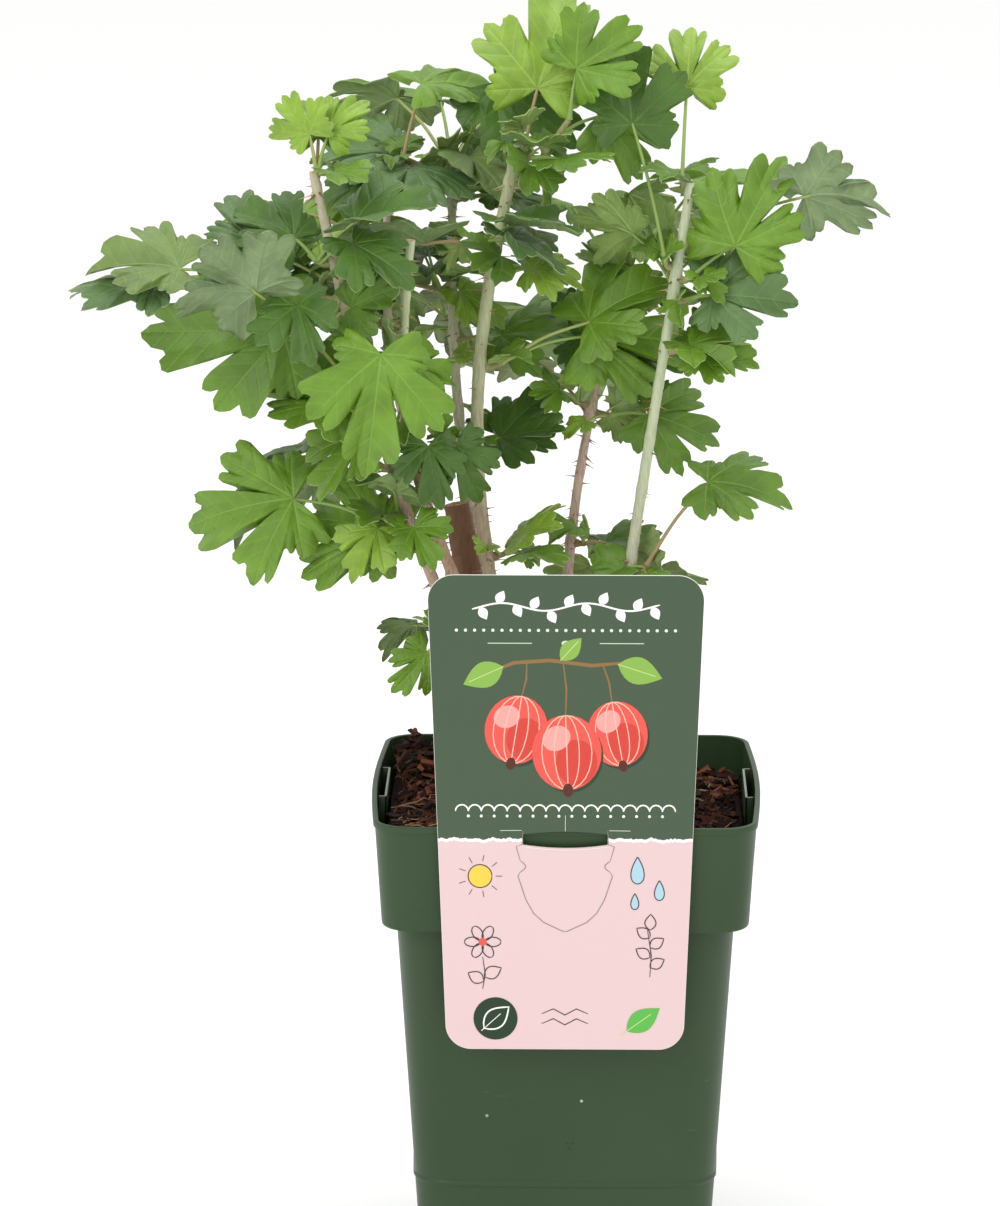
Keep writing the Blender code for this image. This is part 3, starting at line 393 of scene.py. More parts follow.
def path_normals(points, first=None):
    """The direction of travel at each point of a path; the first can be given."""
    normals = []
    for index, _ in enumerate(points):
        before = points[max(index - 1, 0)]
        after = points[min(index + 1, len(points) - 1)]
        normals.append((after - before).normalized())
    if first is not None:
        normals[0] = first.normalized()
    return normals


def bowed_path(foot, tip, bow):
    """Points from foot to tip on a line that bows sideways by the given x and y in its middle."""
    count = max(2, round((tip - foot).length / RING_SPACING))
    sideways = Vector((bow[0], bow[1], 0))
    return [foot.lerp(tip, step / count) + sideways * math.sin(math.pi * step / count)
            for step in range(count + 1)]


def tapered(foot_radius, tip_radius, count):
    """Evenly falling radii."""
    return [foot_radius + (tip_radius - foot_radius) * step / (count - 1) for step in range(count)]


def heading_vector(heading, rise=0.0):
    """Unit direction from a compass angle, anticlockwise from +X, and a rise, both in degrees."""
    turn, lift = math.radians(heading), math.radians(rise)
    return Vector((math.cos(turn) * math.cos(lift), math.sin(turn) * math.cos(lift), math.sin(lift)))


def limb_at(limb, height):
    """Centre, radius and direction of a limb where it passes a height."""
    for index in range(len(limb.points) - 1):
        lower, upper = limb.points[index], limb.points[index + 1]
        if upper.z >= height or index == len(limb.points) - 2:
            share = min(max((height - lower.z) / (upper.z - lower.z), 0), 1)
            radius = limb.radii[index] * (1 - share) + limb.radii[index + 1] * share
            return lower.lerp(upper, share), radius, (upper - lower).normalized()
    raise ValueError(f"no limb at {height}")


def main_stem():
    """The short old stem: flat cut and flared at its foot, sawn off at its top."""
    foot = Vector((*STEM_FOOT, MEDIUM_LEVEL + GAP))
    points = bowed_path(foot, Vector(STEM_TIP), STEM_BOW)
    points[1:1] = [foot.lerp(points[1], share) for share in STEM_FLARE_RINGS]
    radii = []
    for point in points:
        share = (point.z - foot.z) / (STEM_TIP[2] - foot.z)
        flare = STEM_FLARE * math.exp(-(point.z - foot.z) / STEM_FLARE_HEIGHT)
        radii.append(STEM_FOOT_RADIUS + (STEM_TIP_RADIUS - STEM_FOOT_RADIUS) * share + flare)
    return Limb(points, radii, path_normals(points, UP))


def branch_cane(branch, stem):
    """A cane that leaves the main stem's side in a short elbow and bows up to its cut tip."""
    centre, radius, along = limb_at(stem, branch.height)
    outward = heading_vector(branch.heading)
    outward = (outward - along * outward.dot(along)).normalized()
    thick = branch.foot_radius
    start = centre + outward * (radius + GAP)
    knee, bend = (start + (outward * out + UP * up) * thick for out, up in (ELBOW_KNEE, ELBOW_END))
    points = [start, knee] + bowed_path(bend, Vector(branch.tip), branch.bow)
    return Limb(points, tapered(thick, branch.tip_radius, len(points)), path_normals(points, outward))


def sucker_cane(sucker):
    """A cane that stands on the growing medium with a flat cut foot."""
    foot = Vector((*sucker.foot, MEDIUM_LEVEL + GAP))
    points = bowed_path(foot, Vector(sucker.tip), sucker.bow)
    radii = tapered(sucker.foot_radius, sucker.tip_radius, len(points))
    radii[0] *= SUCKER_SWELL
    return Limb(points, radii, path_normals(points, UP))


def all_limbs():
    """Every stem and cane by name."""
    limbs = {"main_stem": main_stem()}
    for branch in BRANCHES:
        limbs[branch.name] = branch_cane(branch, limbs["main_stem"])
    for sucker in SUCKERS:
        limbs[sucker.name] = sucker_cane(sucker)
    return limbs


def blade_plan():
    """The blade's flat outline and vein points at unit length, and the triangles between them."""
    points = [Vector((0, 0))]
    faces = []

    def place(degrees, share):
        angle = math.radians(degrees)
        points.append(Vector((math.sin(angle), math.cos(angle))) * share)
        return len(points) - 1

    base = 0
    notch = base
    for number, (degrees, share) in enumerate(VEINS):
        last = number == len(VEINS) - 1
        following = base if last else place((degrees + VEINS[number + 1][0]) / 2, NOTCH_SHARE)
        tip = place(degrees, share)
        if SHOULDERED[number]:
            middle = place(degrees, share * VEIN_MIDDLE)
            left = place(degrees - SHOULDER_TURN, share * SHOULDER_SHARE)
            right = place(degrees + SHOULDER_TURN, share * SHOULDER_SHARE)
            faces += [(base, notch, middle), (base, middle, following), (middle, notch, left),
                      (middle, left, tip), (middle, tip, right), (middle, right, following)]
        elif notch == base:
            faces.append((base, tip, following))
        elif following == base:
            faces.append((base, notch, tip))
        notch = following
    return points, faces


BLADE_POINTS, BLADE_FACES = blade_plan()


def blade_height(x, y, form):
    """How far the blade stands off its flat plan: creased between veins, folded, and arched to its edge."""
    reach = math.hypot(x, y)
    if reach < 1e-6:
        return 0.0
    turn = math.degrees(math.atan2(x, y))
    off_vein = math.radians(min(abs(turn - degrees) for degrees, _ in VEINS))
    return form.fold * abs(x) - form.arch * reach * reach + BLADE_CREASE * reach * off_vein


def blade_surface(frame, form, offset=0.0):
    """The blade's points in place, moved off its middle surface by an offset."""
    placed = []
    for plan in BLADE_POINTS:
        height = blade_height(plan.x, plan.y, form)
        local = Vector((plan.x * form.length, plan.y * form.length, height * form.length + offset))
        placed.append(frame @ local)
    return placed


def blade_frame(base, forward, face):
    """A frame whose Y runs along the midrib and whose Z stands on the upper side."""
    above = (face - forward * face.dot(forward)).normalized()
    frame = Matrix((forward.cross(above), forward, above)).transposed().to_4x4()
    frame.translation = base
    return frame


def stalk_limb(root, base, frame, form):
    """A leaf stalk: sunk into the blade's lower side along the midrib, then a thin arch down to its root."""
    span = base - root
    bend = root + span * 0.5 + UP * span.length * STALK_ARCH
    height = blade_height(0, STALK_SUNK / form.length, form) * form.length
    points = [frame @ Vector((0, STALK_SUNK, height - STALK_DROP))]
    for step in range(STALK_STEPS):
        share = 1 - step / (STALK_STEPS - 1)
        points.append(root.lerp(bend, share).lerp(bend.lerp(base, share), share))
    points[1] -= frame.col[2].to_3d() * STALK_DROP
    radii = [STALK_RADIUS * 0.7] + [STALK_RADIUS] * (len(points) - 1)
    return Limb(points, radii, path_normals(points))


def tree_of(points, faces):
    """A search tree and bounding box of a set of faces."""
    low = Vector(map(min, zip(*points)))
    high = Vector(map(max, zip(*points)))
    return BVHTree.FromPolygons(points, faces), low, high


def tube_tree(limb, sides, extra):
    """The search tree of a tube that is a little fatter than the real one."""
    fat = limb._replace(radii=[radius + extra for radius in limb.radii])
    rings = tube_rings(fat, sides)
    points = [point for ring in rings for point in ring]
    faces = []
    for level in range(len(rings) - 1):
        for index in range(sides):
            after = (index + 1) % sides
            corner = level * sides
            faces.append((corner + index, corner + after, corner + sides + after, corner + sides + index))
    return tree_of(points, faces)


def blade_tree(frame, form, extra):
    """The search tree of a blade's two sides, each moved out a little."""
    points = blade_surface(frame, form, extra) + blade_surface(frame, form, -extra)
    below = [tuple(index + len(BLADE_POINTS) for index in face) for face in BLADE_FACES]
    return tree_of(points, BLADE_FACES + below)


def boxes_meet(one, other):
    """Whether two search trees' boxes overlap."""
    return all(one[1][axis] <= other[2][axis] and other[1][axis] <= one[2][axis] for axis in range(3))


def is_clear(candidate, obstacles):
    """Whether a candidate's tree touches none of the obstacles."""
    return not any(boxes_meet(candidate, other) and candidate[0].overlap(other[0]) for other in obstacles)


def in_crown(points):
    """Whether every point keeps to the crown's space."""
    return all(CROWN_LOW[axis] <= point[axis] <= CROWN_HIGH[axis] for point in points for axis in range(3))


def spur_limb(shoot, limbs):
    """The woody spur of a mass: it leaves its cane's side square to it and turns to the leaves' heading."""
    centre, radius, along = limb_at(limbs[shoot.cane], shoot.height)
    outward = heading_vector(shoot.heading)
    outward = (outward - along * outward.dot(along)).normalized()
    ahead = heading_vector(shoot.heading, shoot.rise)
    start = centre + outward * (radius + GAP)
    knee = start + outward * SPUR_KNEE
    points = [start, knee, knee + ahead * (shoot.spur - SPUR_KNEE)]
    radii = tapered(SPUR_RADIUS, SPUR_RADIUS * SPUR_TAPER, len(points))
    return Limb(points, radii, path_normals(points, outward))


def place_leaf(shoot, number, spur, rng, others, own):
    """Find a clear place for one leaf, with more freedom at each try, or None.

    Others holds the trees of all other pieces, and own those of this mass's earlier leaves, whose
    stalks may meet this one at the spur.
    """
    share = number / (shoot.leaves - 1) - 0.5 if shoot.leaves > 1 else 0.0
    root = spur.points[-1].lerp(spur.points[1], number / shoot.leaves * ROOT_SPREAD)
    form = BladeForm(shoot.blade * rng.uniform(*BLADE_SIZES) / WIDTH_TO_LENGTH,
                     rng.uniform(*BLADE_FOLDS), rng.uniform(*BLADE_ARCHES))
    for attempt in range(TRIES):
        loose = FIRST_FREEDOM + (LAST_FREEDOM - FIRST_FREEDOM) * attempt / TRIES
        heading = shoot.heading + shoot.fan * share + rng.gauss(0, HEADING_SPREAD) * loose
        rise = shoot.rise + shoot.lift * share + rng.gauss(0, RISE_SPREAD) * loose
        pitch = shoot.pitch + shoot.lift * share + rng.gauss(0, PITCH_SPREAD) * loose
        length = shoot.stalk * (1 + rng.uniform(-STALK_SPREAD, STALK_SPREAD) * loose)
        base = root + heading_vector(heading, rise) * length
        forward = heading_vector(heading + rng.gauss(0, TWIST_SPREAD) * loose, pitch)
        face = UP * (1 - shoot.lean) + heading_vector(shoot.facing) * shoot.lean
        face += Vector([rng.gauss(0, FACE_SPREAD) * loose for _ in range(3)])
        frame = blade_frame(base, forward, face)
        if not in_crown(blade_surface(frame, form)):
            continue
        stalk = stalk_limb(root, base, frame, form)
        outer = Limb(stalk.points[:-1], stalk.radii[:-1], stalk.normals[:-1])
        blade = blade_tree(frame, form, BLADE_THICK / 2 + CLEARANCE)
        whole_stem = tube_tree(stalk, STALK_SIDES, CLEARANCE)
        outer_stem = tube_tree(outer, STALK_SIDES, CLEARANCE)
        if not (is_clear(blade, others + own) and is_clear(outer_stem, own)):
            continue
        if is_clear(whole_stem, others):
            return Leaf(frame, form, stalk), (blade, outer_stem), (blade, whole_stem)
    return None


# Leaves

# Tints dealt out by shoot: each is an upper side, a lower side and a vein colour
TINTS = {
    "young": ("#84A636", "#9CB266", "#98B24F"),
    "fresh": ("#668C24", "#8FA85E", "#7A9F3D"),
    "mid": ("#5C8024", "#879E62", "#6E9139"),
    "dark": ("#486B22", "#788F58", "#5A7D32"),
    # Painted sheen: this tint paints the bluish sheen of waxy leaves into their colour
    "blue": ("#587641", "#869A6E", "#6B8A52"),
    "grey": ("#6E8743", "#909D70", "#829A59"),
}
SHOOT_TINTS = {
    "young": ("left_top", "left_back_top", "centre_top", "centre_small", "middle_right_small"),
    "fresh": ("centre_right", "left_foot", "left_strip", "centre_shoot", "right_level", "right_far",
              "right_top", "right_pale", "middle_droop", "left_low", "right_droop", "centre_foot", "low",
              "back_right_d", "back_right_e", "back_left_c"),
    "dark": ("middle_dark", "right_palmate", "middle_right_dark", "middle_low", "centre_low",
             "left_upper", "back_a", "back_left_a", "back_right_a", "right_foot"),
    # Painted sheen: these masses take the bluish sheen tint
    "blue": ("left_far", "back_left_top", "back_top", "centre_long", "back_b", "right_tip",
             "back_strip"),
    "grey": ("left_pale", "right_glossy"),
}
TINT_ORDER = ["dark", "blue", "grey", "mid", "fresh", "young"]
OWN_TINT = 0.8
TINT_LOOKS = 4
LEAF_THICK = 0.42

# Mesh of a blade: rings from stalk to edge, and columns to each side of an inner and of an outer vein
LEAF_RINGS = 15
RING_POWER = 0.9
SECTOR_COLUMNS = 12
OUTER_COLUMNS = 8
OUTER_ANGLE = 138.0

# How the veins and lobes of one leaf differ from the plan
VEIN_TURN = 7
VEIN_LENGTHS = (0.86, 1.06)
LOBE_DROOP = (-0.12, 0.36)
UPPER_NOTCH = (0.42, 0.6)
LOWER_NOTCH = (0.78, 0.95)
OUTER_NOTCH = 0.16
LOBE_ROUND = 0.15
TOOTH_DEPTH = 0.15
FINE_DEPTH = 0.025
OUTER_TEETH = (1.2, 1.6)
INNER_TEETH = (1.35, 1.75)
TOOTH_PHASE = (-0.07, 0.05)

# Relief: the veins' half width, ridge and groove, the puffed fields between ribs, the wavy edge
VEIN_HALF = 0.46
VEIN_TIP = 0.12
VEIN_ANGLE = 9
UNDER_RIDGE = 0.45
UPPER_GROOVE = 0.16
FULL_VEIN_LENGTH = 34
RIB_SPACING = 6.5
RIB_SLANT = 0.9
PUFF = 0.42
PUFF_EDGE = 3.0
EDGE_WAVE = 0.055
TIP_FALLS = (0.01, 0.12)
MAP_SPAN = 100
LEAF_SHARP = 50
STEM_SIDES = 7
YOUNG_BLADES = (9.0, 23.0)
PIECE_LEAVES = 24


def outline_share(u, length, notch, teeth, phase):
    """Reach of one side of a lobe, from its vein (0) to the notch (1), with rounded teeth."""
    reach = length * (1 - LOBE_ROUND * u ** 2.2)
    tooth = np.abs(np.cos(math.pi * teeth * (u + phase)))
    fine = np.abs(np.cos(math.pi * 3 * teeth * (u + phase)))
    reach = reach * (1 - TOOTH_DEPTH * (1 - tooth) ** 1.3 - FINE_DEPTH * (1 - fine))
    fall = np.clip((u - 0.8) / 0.2, 0, 1)
    fall = fall * fall * (3 - 2 * fall)
    return reach * (1 - fall) + notch * fall


def blade_columns(rng, detail):
    """Columns that fan out from the stalk.

    Each holds its vein's angle, its offset as a share of the half sector, the half sector, its reach,
    its mark and its lobe's droop.
    """
    angles = [degrees + rng.uniform(-VEIN_TURN, VEIN_TURN) for degrees, _ in VEINS]
    lengths = [share * rng.uniform(*VEIN_LENGTHS) for _, share in VEINS]
    droops = [rng.uniform(*LOBE_DROOP) for _ in VEINS]
    shares = [rng.uniform(*LOWER_NOTCH if number in (0, 3) else UPPER_NOTCH) for number in range(4)]
    notches = [min(pair) * share for pair, share in zip(zip(lengths, lengths[1:]), shares)]
    edges = [-OUTER_ANGLE] + [(one + two) / 2 for one, two in zip(angles, angles[1:])] + [OUTER_ANGLE]
    depths = [OUTER_NOTCH] + notches + [OUTER_NOTCH]
    columns = []
    for number, (angle, length) in enumerate(zip(angles, lengths)):
        for side in (-1, 1):
            edge = edges[number + (side > 0)]
            notch = depths[number + (side > 0)]
            outer = abs(edge) >= OUTER_ANGLE
            count = OUTER_COLUMNS if outer else SECTOR_COLUMNS
            count = max(3, round(count * detail))
            teeth = rng.uniform(*(OUTER_TEETH if outer else INNER_TEETH))
            shares = np.arange(1, count + 1) / count
            reach = outline_share(shares, length, notch, teeth, rng.uniform(*TOOTH_PHASE))
            droop = droops[number]
            rows = [(angle, side * share, abs(edge - angle), far, 0, droop)
                    for share, far in zip(shares, reach)]
            if side < 0:
                rows = rows[::-1]
                columns += rows if outer else rows[1:]
                columns += [(angle, 0.0, 0.0, length, mark, droop) for mark in (-1, 2, 1)]
            else:
                columns += rows
    return columns


def blade_arrays(leaf, rng, detail):
    """Vertices, faces, face marks and map of one closed leaf blade.

    The marks are 0 and 1 for the upper and lower side, and 2 and 3 for the veins on them.
    """
    columns = blade_columns(rng, detail)
    size = leaf.form.length
    vein_size = min(1.0, size / FULL_VEIN_LENGTH)
    rings = max(6, round(LEAF_RINGS * detail))
    steps = np.linspace(0, 1, rings + 1)[1:] ** RING_POWER
    angle = np.array([column[0] for column in columns])
    share = np.array([column[1] for column in columns])
    half = np.array([column[2] for column in columns])
    reach = np.array([column[3] for column in columns])
    mark = np.array([column[4] for column in columns])
    droop = np.array([column[5] for column in columns])
    far = steps[:, None] * reach[None, :]
    vein_half = (VEIN_HALF + (VEIN_TIP - VEIN_HALF) * steps[:, None]) / size * vein_size
    swing = np.degrees(np.arcsin(np.clip(vein_half / far, 0, math.sin(math.radians(VEIN_ANGLE)))))
    side = np.where(mark == 0, np.sign(share), np.where(mark == 2, 0, mark))
    regular = swing + (half[None, :] - swing) * np.abs(share)[None, :]
    offset = np.where(mark[None, :] == 0, regular, swing) * side[None, :]
    turn = np.radians(angle[None, :] + offset)
    x, y = np.sin(turn) * far, np.cos(turn) * far
    off_vein = np.radians(np.abs(offset))
    reach_flat = np.hypot(x, y)
    form = leaf.form
    height = form.fold * (np.sqrt(x * x + 0.0012) - 0.035) - form.arch * reach_flat ** 2
    height = height + BLADE_CREASE * reach_flat * off_vein
    waves = rng.uniform(2.2, 3.6), rng.uniform(0, FULL_TURN)
    height = height + EDGE_WAVE * np.sin(turn * waves[0] + waves[1]) * steps[:, None] ** 2
    height = height - rng.uniform(*TIP_FALLS) * steps[:, None] ** 4
    height = height - droop[None, :] * far ** 2 * (1 - np.abs(share)[None, :] ** 1.5)
    along = far * np.cos(off_vein) * size
    across = far * np.sin(off_vein) * size
    rib = np.cos(FULL_TURN * (along - RIB_SLANT * across) / RIB_SPACING)
    z = height * size + PUFF * 0.5 * rib * np.clip(across / PUFF_EDGE, 0, 1) * vein_size
    middle = mark == 2
    upper = z + LEAF_THICK / 2 - UPPER_GROOVE * middle[None, :]
    ridge = UNDER_RIDGE * middle[None, :] * (1 - 0.7 * steps[:, None]) * vein_size
    lower = z - LEAF_THICK / 2 - ridge
    count = len(columns)

    def side_points(level, base):
        flat = np.stack([x * size, y * size, level], axis=-1).reshape(-1, 3)
        return np.vstack([[0.0, 0.0, base], flat])

    points = np.vstack([side_points(upper, LEAF_THICK / 2), side_points(lower, -LEAF_THICK / 2)])
    total = rings * count + 1
    grid = np.arange(rings * count).reshape(rings, count) + 1
    vein_column = (mark[:-1] != 0) & (mark[1:] != 0)
    quads = np.stack([grid[:-1, :-1], grid[:-1, 1:], grid[1:, 1:], grid[1:, :-1]], axis=-1)
    marks = np.broadcast_to(vein_column, (rings - 1, count - 1))
    quads, marks = quads.reshape(-1, 4), marks.reshape(-1)
    fans = np.stack([np.zeros(count - 1, int), grid[0, 1:], grid[0, :-1]], axis=-1)
    ends = np.concatenate([[0], grid[:, 0], grid[-1, 1:], grid[-2::-1, -1]])
    after = np.roll(ends, -1)
    rim = np.stack([ends, ends + total, after + total, after], axis=-1)
    four = np.vstack([quads[:, ::-1], quads + total, rim[:, ::-1]])
    four_marks = np.concatenate([marks * 2, marks * 2 + 1, np.ones(len(rim), int)])
    three = np.vstack([fans, fans[:, ::-1] + total])
    three_marks = np.concatenate([vein_column * 2, vein_column * 2 + 1])
    flat_map = np.stack([np.append(0, along), np.append(0, across)], axis=-1) / MAP_SPAN
    flat_map = np.vstack([flat_map, flat_map])
    place = np.array(leaf.frame)
    points = points @ place[:3, :3].T + place[:3, 3]
    return points, four, four_marks, three, three_marks, flat_map


def mesh_of_arrays(name, points, groups, uv=None, smooth_angle=None):
    """A mesh in metres from point rows and groups of faces, each group with its material numbers."""
    mesh = bpy.data.meshes.new(name)
    mesh.vertices.add(len(points))
    mesh.vertices.foreach_set("co", (np.asarray(points) * MM).astype(np.float32).ravel())
    corners = np.concatenate([faces.ravel() for faces, _ in groups]).astype(np.int32)
    counts = np.concatenate([np.full(len(faces), faces.shape[1]) for faces, _ in groups])
    slots = np.concatenate([np.broadcast_to(slot, len(faces)) for faces, slot in groups])
    mesh.loops.add(len(corners))
    mesh.loops.foreach_set("vertex_index", corners)
    mesh.polygons.add(len(counts))
    starts = np.concatenate([[0], np.cumsum(counts)[:-1]])
    mesh.polygons.foreach_set("loop_start", starts.astype(np.int32))
    mesh.polygons.foreach_set("material_index", slots.astype(np.int32))
    mesh.update(calc_edges=True)
    if uv is not None:
        layer = mesh.uv_layers.new(name="leaf_map")
        layer.data.foreach_set("uv", uv[corners].astype(np.float32).ravel())
    mesh.validate()
    mesh.polygons.foreach_set("use_smooth", np.ones(len(mesh.polygons), bool))
    if smooth_angle:
        mesh.set_sharp_from_angle(angle=math.radians(smooth_angle))
    return mesh


# Materials

# How far the change from brown to green bark wanders up and down a cane, in metres
BARK_WANDER = 0.09


def linear(code):
    """Linear red, green and blue from an sRGB hex colour."""
    shares = [int(code[place:place + 2], 16) / 255 for place in (1, 3, 5)]
    return tuple(share / 12.92 if share <= 0.04045 else ((share + 0.055) / 1.055) ** 2.4 for share in shares)


def add_node(material, kind, inputs=None, links=None, **settings):
    """Add a shader node, set it and its inputs, and link other sockets into it."""
    node = material.node_tree.nodes.new(kind)
    for key, value in settings.items():
        setattr(node, key, value)
    for key, value in (inputs or {}).items():
        node.inputs[key].default_value = value
    for key, socket in (links or {}).items():
        material.node_tree.links.new(socket, node.inputs[key])
    return node


def new_material(name, roughness, specular=0.5, coat=0.0):
    """A Principled material whose plain numbers stand on the shader's own sockets."""
    material = bpy.data.materials.new(name)
    material.use_nodes = True
    shader = material.node_tree.nodes["Principled BSDF"]
    shader.inputs["Roughness"].default_value = roughness
    shader.inputs["Specular IOR Level"].default_value = specular
    shader.inputs["Coat Weight"].default_value = coat
    return material, shader


def join(material, source, target):
    """Link one socket to another."""
    material.node_tree.links.new(source, target)


def shade(colour, factor=1.0):
    """A linear colour for a socket, made darker or lighter by a factor."""
    return (*(min(channel * factor, 1.0) for channel in colour), 1.0)


def leaf_material(name, code, roughness, vein_share, relief):
    """Living leaf: gives the eye a soft waxy gloss, cloudy green and a fine net of paler veins."""
    material, shader = new_material(name, roughness, 0.42)
    colour = linear(code)
    spots = add_node(material, "ShaderNodeUVMap", uv_map="leaf_map")
    parts = add_node(material, "ShaderNodeSeparateXYZ", links={"Vector": spots.outputs["UV"]})
    slant = add_node(material, "ShaderNodeMath", {1: -RIB_SLANT},
                     {0: parts.outputs["Y"], 2: parts.outputs["X"]}, operation="MULTIPLY_ADD")
    scaled = add_node(material, "ShaderNodeMath", {1: MAP_SPAN * FULL_TURN / RIB_SPACING},
                      {0: slant.outputs[0]}, operation="MULTIPLY")
    wave = add_node(material, "ShaderNodeMath", links={0: scaled.outputs[0]}, operation="COSINE")
    rib = add_node(material, "ShaderNodeMapRange", {"From Min": -0.62, "From Max": -1.0},
                   {"Value": wave.outputs[0]})
    coords = add_node(material, "ShaderNodeTexCoord")
    patch = add_node(material, "ShaderNodeTexNoise", {"Scale": 70.0, "Detail": 3.0},
                     {"Vector": coords.outputs["Object"]})
    cloud = add_node(material, "ShaderNodeMapRange", {"From Min": 0.35, "From Max": 0.7},
                     {"Value": patch.outputs["Fac"]})
    patchy = add_node(material, "ShaderNodeMix", {6: shade(colour, 0.8), 7: shade(colour, 1.16)},
                      {0: cloud.outputs["Result"]}, data_type="RGBA")
    faint = add_node(material, "ShaderNodeMath", {1: vein_share}, {0: rib.outputs["Result"]},
                     operation="MULTIPLY")
    veined = add_node(material, "ShaderNodeMix", {7: shade(colour, 1.9)},
                      {0: faint.outputs[0], 6: patchy.outputs[2]}, data_type="RGBA")
    join(material, veined.outputs[2], shader.inputs["Base Color"])
    net = add_node(material, "ShaderNodeTexVoronoi", {"Scale": 900.0}, {"Vector": coords.outputs["Object"]},
                   feature="DISTANCE_TO_EDGE")
    both = add_node(material, "ShaderNodeMath", {1: 0.9},
                    {0: rib.outputs["Result"], 2: net.outputs["Distance"]}, operation="MULTIPLY_ADD")
    bump = add_node(material, "ShaderNodeBump", {"Distance": relief * MM, "Strength": 0.5},
                    {"Height": both.outputs[0]})
    join(material, bump.outputs["Normal"], shader.inputs["Normal"])
    return material


def plain_material(name, code, roughness, specular=0.3):
    """One flat colour, for small things whose colour is dealt out piece by piece."""
    material, shader = new_material(name, roughness, specular)
    shader.inputs["Base Color"].default_value = (*linear(code), 1)
    return material


def bark_material(name, low_code, high_code, low, high):
    """Cane bark: gives the eye streaked, flaking brown below that turns to smooth pale green higher up."""
    material, shader = new_material(name, 0.72, 0.35)
    low_colour, high_colour = linear(low_code), linear(high_code)
    coords = add_node(material, "ShaderNodeTexCoord")
    parts = add_node(material, "ShaderNodeSeparateXYZ", links={"Vector": coords.outputs["Object"]})
    stretched = add_node(material, "ShaderNodeMapping", {"Scale": (1.0, 1.0, 0.16)},
                         {"Vector": coords.outputs["Object"]})
    streak = add_node(material, "ShaderNodeTexNoise", {"Scale": 1100.0, "Detail": 5.0, "Roughness": 0.62},
                      {"Vector": stretched.outputs["Vector"]})
    blot = add_node(material, "ShaderNodeTexNoise", {"Scale": 55.0, "Detail": 2.0},
                    {"Vector": coords.outputs["Object"]})
    wander = add_node(material, "ShaderNodeMath", {1: BARK_WANDER},
                      {0: blot.outputs["Fac"], 2: parts.outputs["Z"]}, operation="MULTIPLY_ADD")
    limits = {"From Min": low * MM + BARK_WANDER / 2, "From Max": high * MM + BARK_WANDER / 2}
    green = add_node(material, "ShaderNodeMapRange", limits, {"Value": wander.outputs[0]})
    base = add_node(material, "ShaderNodeMix", {6: shade(low_colour), 7: shade(high_colour)},
                    {0: green.outputs["Result"]}, data_type="RGBA")
    dark = add_node(material, "ShaderNodeMix", {6: shade(low_colour, 0.6), 7: shade(high_colour, 0.78)},
                    {0: green.outputs["Result"]}, data_type="RGBA")
    grain = add_node(material, "ShaderNodeMapRange", {"From Min": 0.32, "From Max": 0.56},
                     {"Value": streak.outputs["Fac"]})
    streaked = add_node(material, "ShaderNodeMix", {},
                        {0: grain.outputs["Result"], 6: dark.outputs[2], 7: base.outputs[2]}, data_type="RGBA")
    join(material, streaked.outputs[2], shader.inputs["Base Color"])
    bump = add_node(material, "ShaderNodeBump", {"Distance": 0.35 * MM, "Strength": 0.7},
                    {"Height": streak.outputs["Fac"]})
    join(material, bump.outputs["Normal"], shader.inputs["Normal"])
    return material


